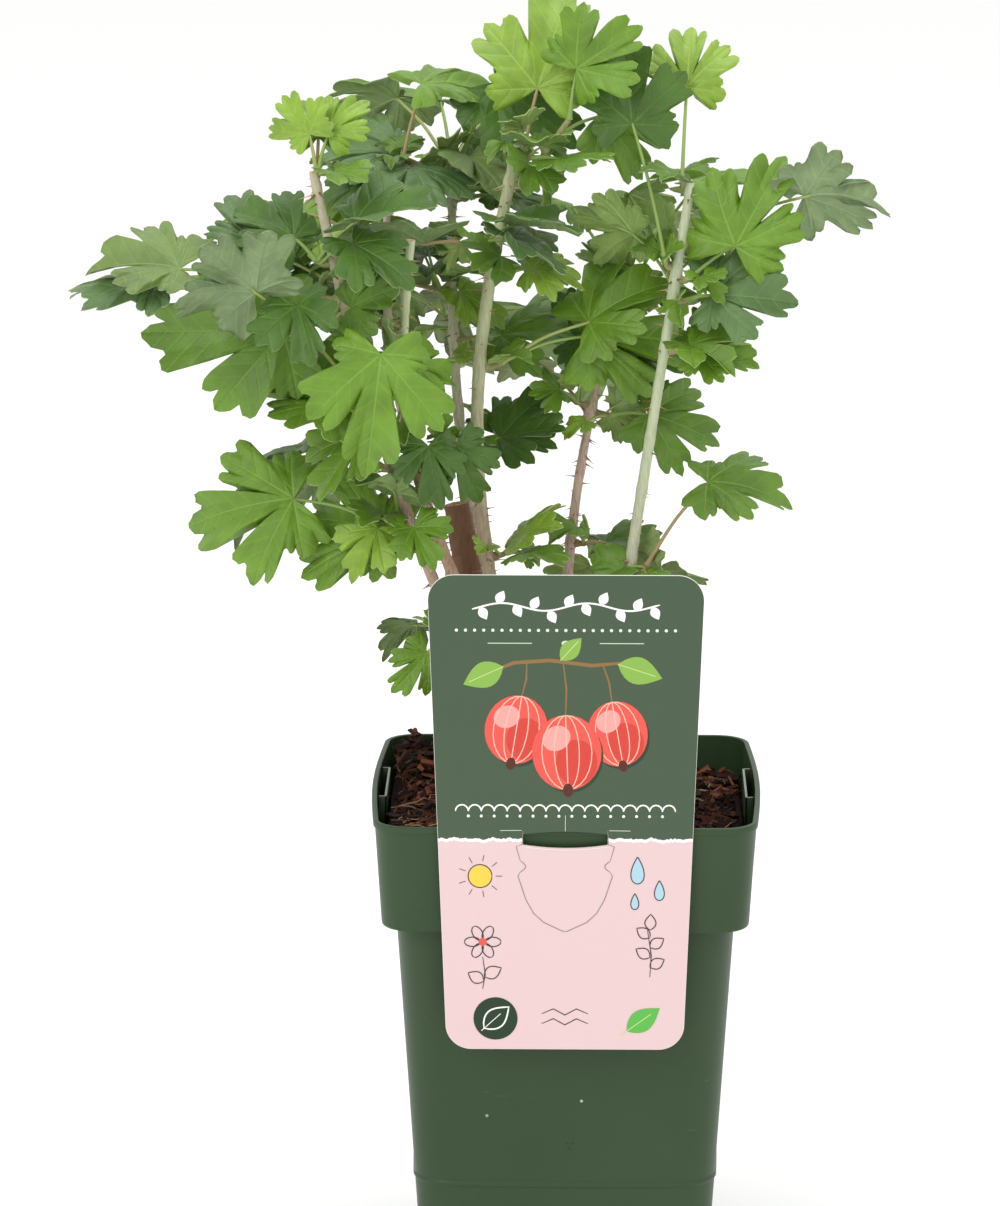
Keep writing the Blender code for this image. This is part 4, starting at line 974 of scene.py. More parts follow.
def pot_material(colour):
    """Moulded polypropylene: gives the eye satin dark green, faint rub marks and a few pale specks."""
    material, shader = new_material("moulded_polypropylene", 0.42, 0.28)
    coords = add_node(material, "ShaderNodeTexCoord")
    cloud = add_node(material, "ShaderNodeTexNoise", {"Scale": 9.0, "Detail": 4.0},
                     {"Vector": coords.outputs["Object"]})
    uneven = add_node(material, "ShaderNodeMapRange", {"From Min": 0.3, "From Max": 0.7},
                      {"Value": cloud.outputs["Fac"]})
    tone = add_node(material, "ShaderNodeMix", {6: shade(colour, 0.92), 7: shade(colour, 1.08)},
                    {0: uneven.outputs["Result"]}, data_type="RGBA")
    specks = add_node(material, "ShaderNodeTexVoronoi", {"Scale": 62.0}, {"Vector": coords.outputs["Object"]})
    speck = add_node(material, "ShaderNodeMapRange", {"From Min": 0.045, "From Max": 0.03},
                     {"Value": specks.outputs["Distance"]})
    some = add_node(material, "ShaderNodeTexNoise", {"Scale": 21.0}, {"Vector": coords.outputs["Object"]})
    patches = add_node(material, "ShaderNodeMapRange", {"From Min": 0.5, "From Max": 0.56},
                       {"Value": some.outputs["Fac"]})
    chosen = add_node(material, "ShaderNodeMath", {},
                      {0: speck.outputs["Result"], 1: patches.outputs["Result"]}, operation="MULTIPLY")
    dusty = add_node(material, "ShaderNodeMix", {7: shade(linear("#A9B09E"))},
                     {0: chosen.outputs[0], 6: tone.outputs[2]}, data_type="RGBA")
    drawn = add_node(material, "ShaderNodeMapping", {"Scale": (1.0, 1.0, 5.5), "Rotation": (0.0, 0.35, 0.0)},
                     {"Vector": coords.outputs["Object"]})
    rub = add_node(material, "ShaderNodeTexNoise", {"Scale": 60.0, "Detail": 6.0, "Roughness": 0.7},
                   {"Vector": drawn.outputs["Vector"]})
    rubbed = add_node(material, "ShaderNodeMapRange", {"From Min": 0.66, "From Max": 0.78},
                      {"Value": rub.outputs["Fac"]})
    light = add_node(material, "ShaderNodeMath", {1: 0.22}, {0: rubbed.outputs["Result"]},
                     operation="MULTIPLY")
    worn = add_node(material, "ShaderNodeMix", {7: shade(linear("#8E9C86"))},
                    {0: light.outputs[0], 6: dusty.outputs[2]}, data_type="RGBA")
    join(material, worn.outputs[2], shader.inputs["Base Color"])
    rough = add_node(material, "ShaderNodeMapRange", {"To Min": 0.36, "To Max": 0.5},
                     {"Value": cloud.outputs["Fac"]})
    join(material, rough.outputs["Result"], shader.inputs["Roughness"])
    grain = add_node(material, "ShaderNodeTexNoise", {"Scale": 1500.0}, {"Vector": coords.outputs["Object"]})
    bump = add_node(material, "ShaderNodeBump", {"Distance": 0.05 * MM, "Strength": 0.25},
                    {"Height": grain.outputs["Fac"]})
    join(material, bump.outputs["Normal"], shader.inputs["Normal"])
    return material


def card_material(upper, lower):
    """Laminated print: gives the eye dark green above a white torn-looking edge and pale pink below it."""
    material, shader = new_material("laminated_print", 0.36, 0.5, 0.1)
    coords = add_node(material, "ShaderNodeTexCoord")
    parts = add_node(material, "ShaderNodeSeparateXYZ", links={"Vector": coords.outputs["Object"]})
    across = add_node(material, "ShaderNodeCombineXYZ", links={"X": parts.outputs["X"]})
    tear = add_node(material, "ShaderNodeTexNoise", {"Scale": 170.0, "Detail": 6.0, "Roughness": 0.7},
                    {"Vector": across.outputs["Vector"]})
    edge = add_node(material, "ShaderNodeMath", {1: -0.006}, {0: tear.outputs["Fac"], 2: parts.outputs["Z"]},
                    operation="MULTIPLY_ADD")
    split = (TEAR_HEIGHT - 3.0) * MM
    above = add_node(material, "ShaderNodeMapRange", {"From Min": split, "From Max": split + 0.0002},
                     {"Value": edge.outputs[0]})
    frayed = add_node(material, "ShaderNodeMapRange", {"From Min": split - 0.0012, "From Max": split - 0.0010},
                      {"Value": edge.outputs[0]})
    paper = add_node(material, "ShaderNodeMix", {6: shade(lower), 7: shade(linear("#FFF6F4"))},
                     {0: frayed.outputs["Result"]}, data_type="RGBA")
    printed = add_node(material, "ShaderNodeMix", {7: shade(upper)},
                       {0: above.outputs["Result"], 6: paper.outputs[2]}, data_type="RGBA")
    join(material, printed.outputs[2], shader.inputs["Base Color"])
    return material


def medium_material():
    """Moist peat between the bark: gives the eye dull, nearly black brown crumbs."""
    material, shader = new_material("moist_peat", 0.95, 0.2)
    coords = add_node(material, "ShaderNodeTexCoord")
    crumbs = add_node(material, "ShaderNodeTexNoise", {"Scale": 420.0, "Detail": 6.0, "Roughness": 0.7},
                      {"Vector": coords.outputs["Object"]})
    share = add_node(material, "ShaderNodeMapRange", {"From Min": 0.35, "From Max": 0.68},
                     {"Value": crumbs.outputs["Fac"]})
    brown = add_node(material, "ShaderNodeMix", {6: shade(linear("#120B08")), 7: shade(linear("#3A2016"))},
                     {0: share.outputs["Result"]}, data_type="RGBA")
    join(material, brown.outputs[2], shader.inputs["Base Color"])
    bump = add_node(material, "ShaderNodeBump", {"Distance": 1.4 * MM, "Strength": 1.0},
                    {"Height": crumbs.outputs["Fac"]})
    join(material, bump.outputs["Normal"], shader.inputs["Normal"])
    return material


# Making pieces


def sweep(bm, rings):
    """Extrude a circle of points through rings of equal point counts; returns the loops of vertices."""
    loop = bmesh.ops.create_circle(bm, cap_ends=False, segments=len(rings[0]), radius=1.0)["verts"]
    edges = list({edge for vertex in loop for edge in vertex.link_edges})
    for vertex, spot in zip(loop, rings[0]):
        vertex.co = spot
    loops = [loop]
    for ring in rings[1:]:
        made = bmesh.ops.extrude_edge_only(bm, edges=edges)["geom"]
        fresh = {item for item in made if isinstance(item, bmesh.types.BMVert)}
        edges = [item for item in made if isinstance(item, bmesh.types.BMEdge)
                 and item.verts[0] in fresh and item.verts[1] in fresh]
        loop = [next(other for other in (edge.other_vert(vertex) for edge in vertex.link_edges)
                     if other in fresh) for vertex in loop]
        for vertex, spot in zip(loop, ring):
            vertex.co = spot
        loops.append(loop)
    return loops


def piece_of_bmesh(name, bm, materials, sharp=35.0):
    """Finish a bmesh in millimetres as a smooth object, with creases where it turns sharply."""
    bmesh.ops.recalc_face_normals(bm, faces=bm.faces)
    bmesh.ops.scale(bm, vec=(MM, MM, MM), verts=bm.verts)
    mesh = bpy.data.meshes.new(name)
    bm.to_mesh(mesh)
    bm.free()
    mesh.polygons.foreach_set("use_smooth", np.ones(len(mesh.polygons), bool))
    mesh.set_sharp_from_angle(angle=math.radians(sharp))
    return add_piece(name, mesh, materials)


def add_piece(name, mesh, materials):
    """Link a mesh as an object with its materials."""
    piece = bpy.data.objects.new(name, mesh)
    for material in materials:
        mesh.materials.append(material)
    bpy.context.scene.collection.objects.link(piece)
    return piece


def settle(piece, nodes=()):
    """Make a piece part of the object: it rides on the root body and may stand for nodes."""
    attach(piece, "root")
    if nodes:
        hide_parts(*nodes)


def cut(piece, cutter):
    """Cut one object out of another and remove it."""
    modifier = piece.modifiers.new("cut", "BOOLEAN")
    modifier.operation = "DIFFERENCE"
    modifier.solver = "EXACT"
    modifier.object = cutter
    graph = bpy.context.evaluated_depsgraph_get()
    baked = bpy.data.meshes.new_from_object(piece.evaluated_get(graph))
    piece.modifiers.clear()
    piece.data = baked
    bpy.data.objects.remove(cutter, do_unlink=True)


# Pot


def square_ring(height, half, corner, bow_sides=0.0, bow_front=0.0):
    """Points round a square with rounded corners, whose walls bow outward between them."""
    ring = []
    for quarter in range(4):
        turn = Matrix.Rotation(quarter * math.pi / 2, 3, "Z")
        bow = bow_sides if quarter % 2 else bow_front
        centre = half - corner
        for step in range(CORNER_STEPS + 1):
            angle = math.pi / 2 * step / CORNER_STEPS
            spot = Vector((centre + corner * math.cos(angle), centre + corner * math.sin(angle), height))
            ring.append(turn @ spot)
        for step in range(1, SIDE_STEPS + 1):
            share = step / (SIDE_STEPS + 1)
            spot = Vector((centre * (1 - 2 * share), half + bow * math.sin(math.pi * share), height))
            ring.append(turn @ spot)
    return ring


def wall_ring(height, inset=0.0):
    """The pot wall's outline at a height, moved in by an inset."""
    if height >= COLLAR_FOOT:
        share = (height - COLLAR_FOOT) / (POT_HEIGHT - LIP_DEPTH - COLLAR_FOOT)
        half = COLLAR_FOOT_HALF + (COLLAR_TOP_HALF - COLLAR_FOOT_HALF) * min(share, 1)
        return square_ring(height, half - inset, RIM_CORNER - inset,
                           RIM_BOW_SIDES * min(share, 1), RIM_BOW_FRONT)
    share = height / COLLAR_FOOT
    half = BODY_FOOT_HALF + (BODY_TOP_HALF - BODY_FOOT_HALF) * share
    return square_ring(height, half - inset, BODY_CORNER - inset, BODY_BOW, BODY_BOW)


def pot_rings():
    """The pot's wall from the middle of its underside, up its outside, over the lip and down inside."""
    lip = POT_HEIGHT - LIP_DEPTH
    reach = RIM_HALF - COLLAR_TOP_HALF
    foot = BODY_FOOT_HALF - FOOT_ROUND
    foot_corner = BODY_CORNER - FOOT_ROUND
    rings = [square_ring(0, foot * 0.9, foot_corner), square_ring(0, foot, foot_corner)]
    for step in range(1, 5):
        turn = math.pi / 2 * step / 4
        inset = FOOT_ROUND * (1 - math.sin(turn))
        rings.append(wall_ring(FOOT_ROUND * (1 - math.cos(turn)), inset))
    rings += [wall_ring(SEAM_HEIGHT + rise, -SEAM_STEP * out) for rise, out in SEAM_PROFILE]
    rings += [wall_ring(LEDGE_FOOT), wall_ring(COLLAR_FOOT - 0.01, -0.5)]
    rings += [wall_ring(COLLAR_FOOT + rise, inset) for rise, inset in COLLAR_PROFILE]
    rings += [wall_ring(COLLAR_MIDDLE), wall_ring(lip - 0.4), wall_ring(lip, -0.12)]
    rings += [wall_ring(lip + rise, -reach * out) for rise, out in LIP_PROFILE]
    rings += [wall_ring(POT_HEIGHT, POT_WALL - 0.3), wall_ring(POT_HEIGHT - 0.25, POT_WALL),
              wall_ring(lip, POT_WALL), wall_ring(182.0, POT_WALL),
              wall_ring(COLLAR_FOOT + 2.0 + POT_WALL, POT_WALL), wall_ring(LEDGE_FOOT + POT_WALL, POT_WALL),
              wall_ring(SEAM_HEIGHT, POT_WALL), wall_ring(POT_FLOOR + FOOT_ROUND, POT_WALL)]
    rings.append(square_ring(POT_FLOOR, foot - POT_WALL, foot_corner - POT_WALL))
    return rings


def build_pot(settings):
    """The thin-walled pot with its collar, rolled lip, card pockets, moulding marks and drain holes."""
    green = pot_material(tuple(settings.pot_colour))
    bm = bmesh.new()
    loops = sweep(bm, pot_rings())
    bm.faces.new(loops[0])
    bm.faces.new(loops[-1])
    pot = piece_of_bmesh("pot_moulded", bm, [green], POT_SHARP)
    for quarter in range(4):
        bm = bmesh.new()
        turn = Matrix.Rotation(math.pi / 2 * quarter, 4, "Z")
        spot = Matrix.Translation((DRAIN_OFFSET, DRAIN_OFFSET, POT_FLOOR / 2))
        bmesh.ops.create_cone(bm, cap_ends=True, segments=28, radius1=DRAIN_RADIUS, radius2=DRAIN_RADIUS,
                              depth=POT_FLOOR * 3, matrix=turn @ spot)
        cut(pot, piece_of_bmesh("drain_cutter", bm, []))
    pot.data.set_sharp_from_angle(angle=math.radians(POT_SHARP))
    settle(pot, ["pot"])
    build_pockets(green)
    bm = bmesh.new()
    wall_y = BODY_FOOT_HALF + (BODY_TOP_HALF - BODY_FOOT_HALF) * PIP_HEIGHT / COLLAR_FOOT + BODY_BOW
    for column, row in ((-1, 0), (1, 0), (-1, 1), (1, 1), (0, -1.2)):
        spot = Vector((2.0 + column * 1.3, -wall_y, PIP_HEIGHT + row * 2.0))
        bmesh.ops.create_uvsphere(bm, u_segments=10, v_segments=6, radius=PIP_RADIUS,
                                  matrix=Matrix.Translation(spot) @ Matrix.Diagonal((1, 0.4, 1, 1)))
    # Glossier plastic with painted shade: the mould's pips, where they stand off the wall, are coloured darker
    # than the pot as the shade of small dimples
    marks = piece_of_bmesh("mould_pips", bm, [plain_material("mould_pip_plastic", "#27361F", 0.5)])
    settle(marks)


def build_pockets(green):
    """The two card pockets inside the side walls, each a plate on two end plates."""
    # Painted highlight: the pockets' upper edges are coloured pale, as the line of light that they catch
    pale = plain_material("worn_pocket_edge", "#8F988A", 0.5)
    bm = bmesh.new()
    half = POCKET_LENGTH / 2
    face = RIM_HALF + RIM_BOW_SIDES - POT_WALL - POCKET_DEPTH
    back = RIM_HALF - POT_WALL / 2
    plates = [(face, -half, face + POCKET_WALL, half), (face, -half, back, -half + POCKET_WALL),
              (face, half - POCKET_WALL, back, half)]
    for side in (-1, 1):
        for low_x, low_y, high_x, high_y in plates:
            size = (high_x - low_x, high_y - low_y, POCKET_TOP - POCKET_FOOT)
            middle = (side * (low_x + high_x) / 2, (low_y + high_y) / 2, (POCKET_TOP + POCKET_FOOT) / 2)
            place = Matrix.Translation(middle) @ Matrix.Diagonal((*size, 1))
            made = bmesh.ops.create_cube(bm, size=1, matrix=place)
            edges = list({edge for vertex in made["verts"] for edge in vertex.link_edges})
            bmesh.ops.bevel(bm, geom=edges, offset=POCKET_EDGE, affect="EDGES", segments=2, profile=0.5,
                            material=-1)
    # Painted highlight: the plates' top faces take the pale material
    for plate_face in bm.faces:
        if plate_face.calc_center_median().z > POCKET_TOP - 0.05:
            plate_face.material_index = 1
    settle(piece_of_bmesh("card_pockets", bm, [green, pale]))


# Growing medium


def inside_pot(x, y, margin):
    """Whether a spot near the rim keeps a margin to the pot's outer wall, also in the round corners."""
    half = COLLAR_TOP_HALF - margin
    straight = COLLAR_TOP_HALF - RIM_CORNER
    over_x, over_y = max(abs(x) - straight, 0), max(abs(y) - straight, 0)
    return math.hypot(over_x, over_y) <= half - straight


def build_medium(settings):
    """Peat for the filling, then bark chips and fibres over it, thicker and higher towards the left."""
    ground = frame["nodes"]["growing_medium"]
    ground.data.materials.clear()
    ground.data.materials.append(medium_material())
    tree = BVHTree.FromPolygons([vertex.co / MM for vertex in ground.data.vertices],
                                [tuple(face.vertices) for face in ground.data.polygons])
    rng = random.Random("bark and fibres")
    limit = COLLAR_TOP_HALF - POT_WALL - 3.0
    scatter_chips(tree, rng, limit, settings.chip_count)
    scatter_fibres(tree, rng, limit, settings.fibre_count)
    settle(ground)


def by_pocket(x, y, start):
    """Whether a spot lies in front of a card pocket, or in it, from a distance off the middle."""
    return abs(x) > start and abs(y) < POCKET_LENGTH / 2 + 3


def scatter_chips(tree, rng, limit, count):
    """Angular bark chips strewn over the filling, each a box with one end drawn in."""
    stems = [Vector((*foot, 0)) for foot in (STEM_FOOT, *(sucker.foot for sucker in SUCKERS))]
    # Composted bark: gives the filling its mix of black, dark brown and a few red-brown chips
    looks = [plain_material(f"bark_chip_{number}", code, 0.85, 0.25) for number, code in enumerate(CHIP_CODES)]
    corners = np.array([(x, y, z) for x in (-1, 1) for y in (-1, 1) for z in (-1, 1)], float)
    box_faces = np.array([(0, 1, 3, 2), (4, 6, 7, 5), (0, 4, 5, 1), (2, 3, 7, 6), (0, 2, 6, 4),
                          (1, 5, 7, 3)])
    points, faces, slots = [], [], []
    for _ in range(count):
        x, y = rng.uniform(-limit, limit), rng.uniform(-limit, limit)
        left = (limit - x) / (2 * limit)
        if max(abs(x), abs(y)) > limit - 2 and rng.random() < 0.5:
            continue
        if min((Vector((x, y, 0)) - stem).length for stem in stems) < STEM_CLEAR:
            continue
        if not inside_pot(x, y, CHIP_MARGIN) or by_pocket(x, y, 66.5):
            continue
        hit = tree.ray_cast(Vector((x, y, 300)), -UP)[0]
        if hit is None:
            continue
        length = rng.uniform(*CHIP_LENGTHS) * (1.35 if rng.random() < 0.2 else 1.0)
        size = (length / 2, rng.uniform(*CHIP_WIDTHS), rng.uniform(*CHIP_HEIGHTS))
        pile = rng.uniform(0, CHIP_PILE) + (rng.uniform(0, HEAP_PILE) if left > 0.72 and y > 10 else 0)
        turn = (Matrix.Rotation(rng.uniform(0, FULL_TURN), 3, "Z") @ Matrix.Rotation(rng.gauss(0, 0.34), 3, "Y")
                @ Matrix.Rotation(rng.gauss(0, 0.5), 3, "X"))
        shape = corners * np.array(size)
        shape[:, 1] *= 1 - 0.5 * (shape[:, 0] > 0) * rng.uniform(*CHIP_TIPS)
        rough = [[rng.uniform(-CHIP_ROUGH, CHIP_ROUGH) for _ in range(3)] for _ in corners]
        shape += np.array(rough) * size[1]
        points.append(shape @ np.array(turn).T + np.array((hit.x, hit.y, min(hit.z + pile, HEAP_TOP))))
        faces.append(box_faces + 8 * (len(points) - 1))
        slots += [rng.choice((0, 1, 1, 2, 2, 3, 4, 5))] * 6
    mesh = mesh_of_arrays("bark_chips", np.vstack(points), [(np.vstack(faces), np.array(slots))], None, 25)
    settle(add_piece("bark_chips", mesh, looks))


def scatter_fibres(tree, rng, limit, count):
    """Thin bent fibres that lie on the filling, more of them towards the left."""
    # Dry root and bark fibre: gives the filling its light brown strands among the dark chips
    looks = [plain_material(f"root_fibre_{number}", code, 0.8, 0.3) for number, code in enumerate(FIBRE_CODES)]
    tubes, slots = [], []
    for _ in range(count):
        x, y = rng.uniform(-limit, limit), rng.uniform(-limit, limit)
        if rng.random() < 0.45:
            x = rng.uniform(-limit, -20)
        hit = tree.ray_cast(Vector((x, y, 300)), -UP)[0]
        if hit is None or by_pocket(x, y, 64):
            continue
        heading = rng.uniform(0, 360)
        length = rng.uniform(*FIBRE_LENGTHS)
        start = hit + UP * rng.uniform(0.8, 3.4)
        ahead = heading_vector(heading, rng.uniform(-4, 24))
        bend = heading_vector(heading + 90) * rng.uniform(-0.3, 0.3) * length
        path = [start + ahead * length * s + bend * math.sin(math.pi * s)
                - UP * FIBRE_SAG * s * s * rng.uniform(0, 1) for s in (0, 0.25, 0.5, 0.75, 1)]
        if not all(inside_pot(p.x, p.y, FIBRE_MARGIN) for p in path):
            continue
        thick = rng.uniform(*FIBRE_THICK)
        tubes.append(tube_arrays(Limb(path, [thick] * 5, path_normals(path)), 3))
        slots.append(rng.choice((0, 0, 1, 2, 3)))
    settle(piece_of_tubes("root_fibres", tubes, slots, looks))


def tube_arrays(limb, sides):
    """Vertices, quads and end triangles of a closed tube."""
    rings = np.array([[tuple(point) for point in ring] for ring in tube_rings(limb, sides)])
    levels = len(rings)
    grid = np.arange(levels * sides).reshape(levels, sides)
    after = np.roll(grid, -1, axis=1)
    quads = np.stack([grid[:-1], after[:-1], after[1:], grid[1:]], axis=-1).reshape(-1, 4)
    order = np.arange(1, sides - 1)
    first = np.stack([np.zeros_like(order), order + 1, order], axis=-1)
    last = np.stack([np.zeros_like(order), order, order + 1], axis=-1) + (levels - 1) * sides
    return rings.reshape(-1, 3), quads, np.vstack([first, last])


def piece_of_tubes(name, tubes, slots, materials):
    """Join tubes into one piece, each with its own material number."""
    points, quads, threes, quad_slots, three_slots = [], [], [], [], []
    base = 0
    for (spots, four, three), slot in zip(tubes, slots):
        points.append(spots)
        quads.append(four + base)
        threes.append(three + base)
        quad_slots.append(np.full(len(four), slot))
        three_slots.append(np.full(len(three), slot))
        base += len(spots)
    groups = [(np.vstack(quads), np.concatenate(quad_slots)), (np.vstack(threes), np.concatenate(three_slots))]
    mesh = mesh_of_arrays(name, np.vstack(points), groups, None, 60)
    return add_piece(name, mesh, materials)


# Bush


def mesh_tree(item):
    """Search tree of a node's own faces, in millimetres."""
    points = [vertex.co / MM for vertex in item.data.vertices]
    return tree_of(points, [tuple(face.vertices) for face in item.data.polygons])


def grow():
    """Repeat the rule that grew the solids: the limbs, then the spur and leaves of each mass."""
    obstacles = [mesh_tree(frame["nodes"][name]) for name in ("pot", "growing_medium", "plant_card")]
    limbs = all_limbs()
    obstacles += [tube_tree(limb, LIMB_SIDES, GAP) for limb in limbs.values()]
    spurs = {shoot.name: spur_limb(shoot, limbs) for shoot in SHOOTS}
    spur_trees = {name: tube_tree(spur, SPUR_SIDES, GAP) for name, spur in spurs.items()}
    masses = {}
    for shoot in SHOOTS:
        rng = random.Random(shoot.name)
        spur = spurs[shoot.name]
        others = obstacles + [tree for name, tree in spur_trees.items() if name != shoot.name]
        leaves, own = [], []
        for number in range(shoot.leaves):
            placed = place_leaf(shoot, number, spur, rng, others, own)
            if placed is None:
                continue
            leaf, near_trees, all_trees = placed
            leaves.append(leaf)
            own += near_trees
            obstacles += all_trees
        masses[shoot.name] = leaves
    return Bush(limbs, spurs, masses, obstacles)


def bush():
    """The grown bush, worked out once."""
    if not BUSH:
        BUSH.append(grow())
    return BUSH[0]


def tint_of(name):
    """The tint of a mass, from the table of shoots."""
    short = name.removeprefix("leaves_")
    return next((tint for tint, names in SHOOT_TINTS.items() if short in names), "mid")


def young_leaves(shoot, spur, obstacles, count, lengths, reach):
    """Smaller leaves that open at a spur, each in a clear place, with stalks of up to the given reach."""
    rng = random.Random(f"{shoot.name} {lengths}")
    found = []
    for _ in range(count):
        for _ in range(YOUNG_TRIES):
            length = rng.uniform(*lengths)
            form = BladeForm(length, rng.uniform(0.25, 0.6), rng.uniform(0.05, 0.3))
            heading = shoot.heading + rng.uniform(-150, 150)
            rise = rng.uniform(-5, 70)
            root = spur.points[1].lerp(spur.points[-1], rng.uniform(0.0, 0.9))
            base = root + heading_vector(heading, rise) * rng.uniform(0.3, 1.0) * reach
            forward = heading_vector(heading + rng.uniform(-25, 25), rise - rng.uniform(5, 50))
            wobble = Vector([rng.gauss(0, 0.3) for _ in range(3)])
            face = UP * 0.8 + heading_vector(shoot.facing) * 0.4 + wobble
            if abs(face.normalized().dot(forward)) > 0.95:
                continue
            leaf = Leaf(blade_frame(base, forward, face), form, None)
            if not in_crown(blade_surface(leaf.frame, form)):
                continue
            stalk = stalk_limb(root, base, leaf.frame, form)
            blade = blade_tree(leaf.frame, form, 0.6)
            if is_clear(blade, obstacles):
                obstacles.append(blade)
                found.append(leaf._replace(stalk=stalk))
                break
    return found


def smooth_path(points, radii, spacing):
    """A closer-spaced smooth path through a limb's points, with its radii."""
    path, sizes = [], []
    for index in range(len(points) - 1):
        before = points[max(index - 1, 0)]
        one, two = points[index], points[index + 1]
        after = points[min(index + 2, len(points) - 1)]
        count = max(1, round((two - one).length / spacing))
        for step in range(count):
            s = step / count
            square = 2 * before - 5 * one + 4 * two - after
            cube = 3 * one - before - 3 * two + after
            path.append(0.5 * (2 * one + (two - before) * s + square * s * s + cube * s ** 3))
            sizes.append(radii[index] + (radii[index + 1] - radii[index]) * s)
    path.append(points[-1])
    sizes.append(radii[-1])
    return path, sizes


def stalk_tube(leaf, thin=1.0):
    """A stalk's smooth tube: swollen where it clasps the spur, thinner towards the blade it runs under."""
    points = list(leaf.stalk.points)
    tuck = points[1].lerp(points[0], 0.5)
    path, _ = smooth_path([points[-1], points[-2], points[1] * 0.5 + tuck * 0.5], [1.0, 1.0, 1.0], 2.2)
    path.append(points[0])
    count = len(path) - 1
    radii = [thin * (STALK_TIP_RADIUS + (STALK_RADIUS - STALK_TIP_RADIUS) * (1 - place / count) ** 1.4
                     + 0.55 * math.exp(-place * 2.2 / 2.5)) for place in range(count + 1)]
    radii[-1] *= 0.55
    return tube_arrays(Limb(path, radii, path_normals(path)), STEM_SIDES)


def tint_looks():
    """The four materials of every tint: both sides of the leaf and the veins on each."""
    looks = []
    for name, (upper, lower, vein) in TINTS.items():
        # Vein: gives the eye a plain, slightly glossier thread, paler where it is seen from below
        looks += [leaf_material(f"leaf_upper_{name}", upper, 0.42, 0.1, 0.3),
                  leaf_material(f"leaf_under_{name}", lower, 0.68, 0.11, 0.3),
                  plain_material(f"leaf_vein_upper_{name}", vein, 0.5, 0.4),
                  plain_material(f"leaf_vein_under_{name}", shade_code(vein), 0.6, 0.3)]
    return looks


def grouped_shoots(masses):
    """The shoots in groups, each with few enough leaves for one piece."""
    groups, held = [[]], 0
    for shoot in SHOOTS:
        leaves = masses[shoot.name]
        if held + len(leaves) > PIECE_LEAVES:
            groups.append([])
            held = 0
        groups[-1].append(shoot)
        held += len(leaves)
    return groups


def build_leaves(settings):
    """Every leaf of every mass in its own tint, the side and young leaves, their stalks and the spurs."""
    names = list(TINTS)
    looks = tint_looks()
    grown = bush()
    stalks, tones = [], []
    for number, shoots in enumerate(grouped_shoots(grown.masses), 1):
        blades = []
        for shoot in shoots:
            rng = random.Random(shoot.name + " look")
            share = GAP_LEAVES.get(shoot.name.removeprefix("leaves_"), 1.0)
            for leaf in grown.masses[shoot.name]:
                first = names.index(leaf_tint(shoot, rng)) * TINT_LOOKS
                shown = leaf._replace(form=leaf.form._replace(length=leaf.form.length * share))
                blades.append((blade_arrays(shown, rng, settings.leaf_detail), first))
                stalks.append(stalk_tube(leaf))
                tones.append(rng.choice((0, 0, 1, 2)))
        piece = piece_of_blades(f"leaf_blades_{number}", blades, looks)
        settle(piece, [shoot.name for shoot in shoots])
    obstacles = list(grown.obstacles)
    blades = []
    for shoot in [shoot for shoot in SHOOTS if shoot.name.removeprefix("leaves_") in FULLER]:
        rng = random.Random(shoot.name + " fuller")
        spur = grown.spurs[shoot.name]
        for leaf in young_leaves(shoot, spur, obstacles, FULLER_COUNT, FULLER_BLADES, FULLER_REACH):
            blade = blade_arrays(leaf, rng, FULLER_DETAIL)
            blades.append((blade, names.index(leaf_tint(shoot, rng)) * TINT_LOOKS))
            stalks.append(stalk_tube(leaf, 0.85))
            tones.append(rng.choice((0, 1)))
    settle(piece_of_blades("side_leaves", blades, looks))
    blades = []
    for shoot in SHOOTS:
        rng = random.Random(shoot.name + " young look")
        spur = grown.spurs[shoot.name]
        for leaf in young_leaves(shoot, spur, obstacles, settings.young_count, YOUNG_BLADES, YOUNG_REACH):
            tint = rng.choice(("young", "fresh", "fresh", "mid"))
            blades.append((blade_arrays(leaf, rng, YOUNG_DETAIL), names.index(tint) * TINT_LOOKS))
            stalks.append(stalk_tube(leaf, 0.62))
            tones.append(rng.choice((0, 1)))
    for number, low in enumerate(range(0, len(blades), PIECE_YOUNG), 1):
        settle(piece_of_blades(f"young_leaves_{number}", blades[low:low + PIECE_YOUNG], looks))
    # Leaf stalk: gives the eye juicy yellow-green threads, a few of them flushed brown
    greens = [plain_material(f"leaf_stalk_{number}", code, 0.5) for number, code in enumerate(STALK_TONES)]
    settle(piece_of_tubes("leaf_stalks", stalks, tones, greens))
    build_twigs(grown.spurs)


def build_twigs(spurs):
    """The woody spurs that carry the leaves, knobbly and sunk into their canes."""
    twigs = []
    for shoot in SHOOTS:
        spur = spurs[shoot.name]
        into = (spur.points[0] - spur.points[1]).normalized() * SPUR_SUNK
        points = [spur.points[0] + into] + list(spur.points)
        radii = [spur.radii[0] * 1.5, spur.radii[0] * 1.35] + list(spur.radii[1:])
        path, sizes = smooth_path(points, radii, 1.4)
        rng = random.Random(shoot.name + " twig")
        sizes = [size * (1 + rng.uniform(-0.09, 0.12)) for size in sizes]
        sizes[-1] *= 0.6
        twigs.append(tube_arrays(Limb(path, sizes, path_normals(path)), 9))
    bark = bark_material("young_twig_bark", "#94795F", "#9FA06C", 260, 400)
    settle(piece_of_tubes("spur_twigs", twigs, [0] * len(twigs), [bark]))


def leaf_tint(shoot, rng):
    """Mostly the shoot's own tint, now and then a neighbouring one."""
    own = tint_of(shoot.name)
    if rng.random() < OWN_TINT:
        return own
    place = TINT_ORDER.index(own) + rng.choice((-1, 1))
    return TINT_ORDER[min(max(place, 0), len(TINT_ORDER) - 1)]


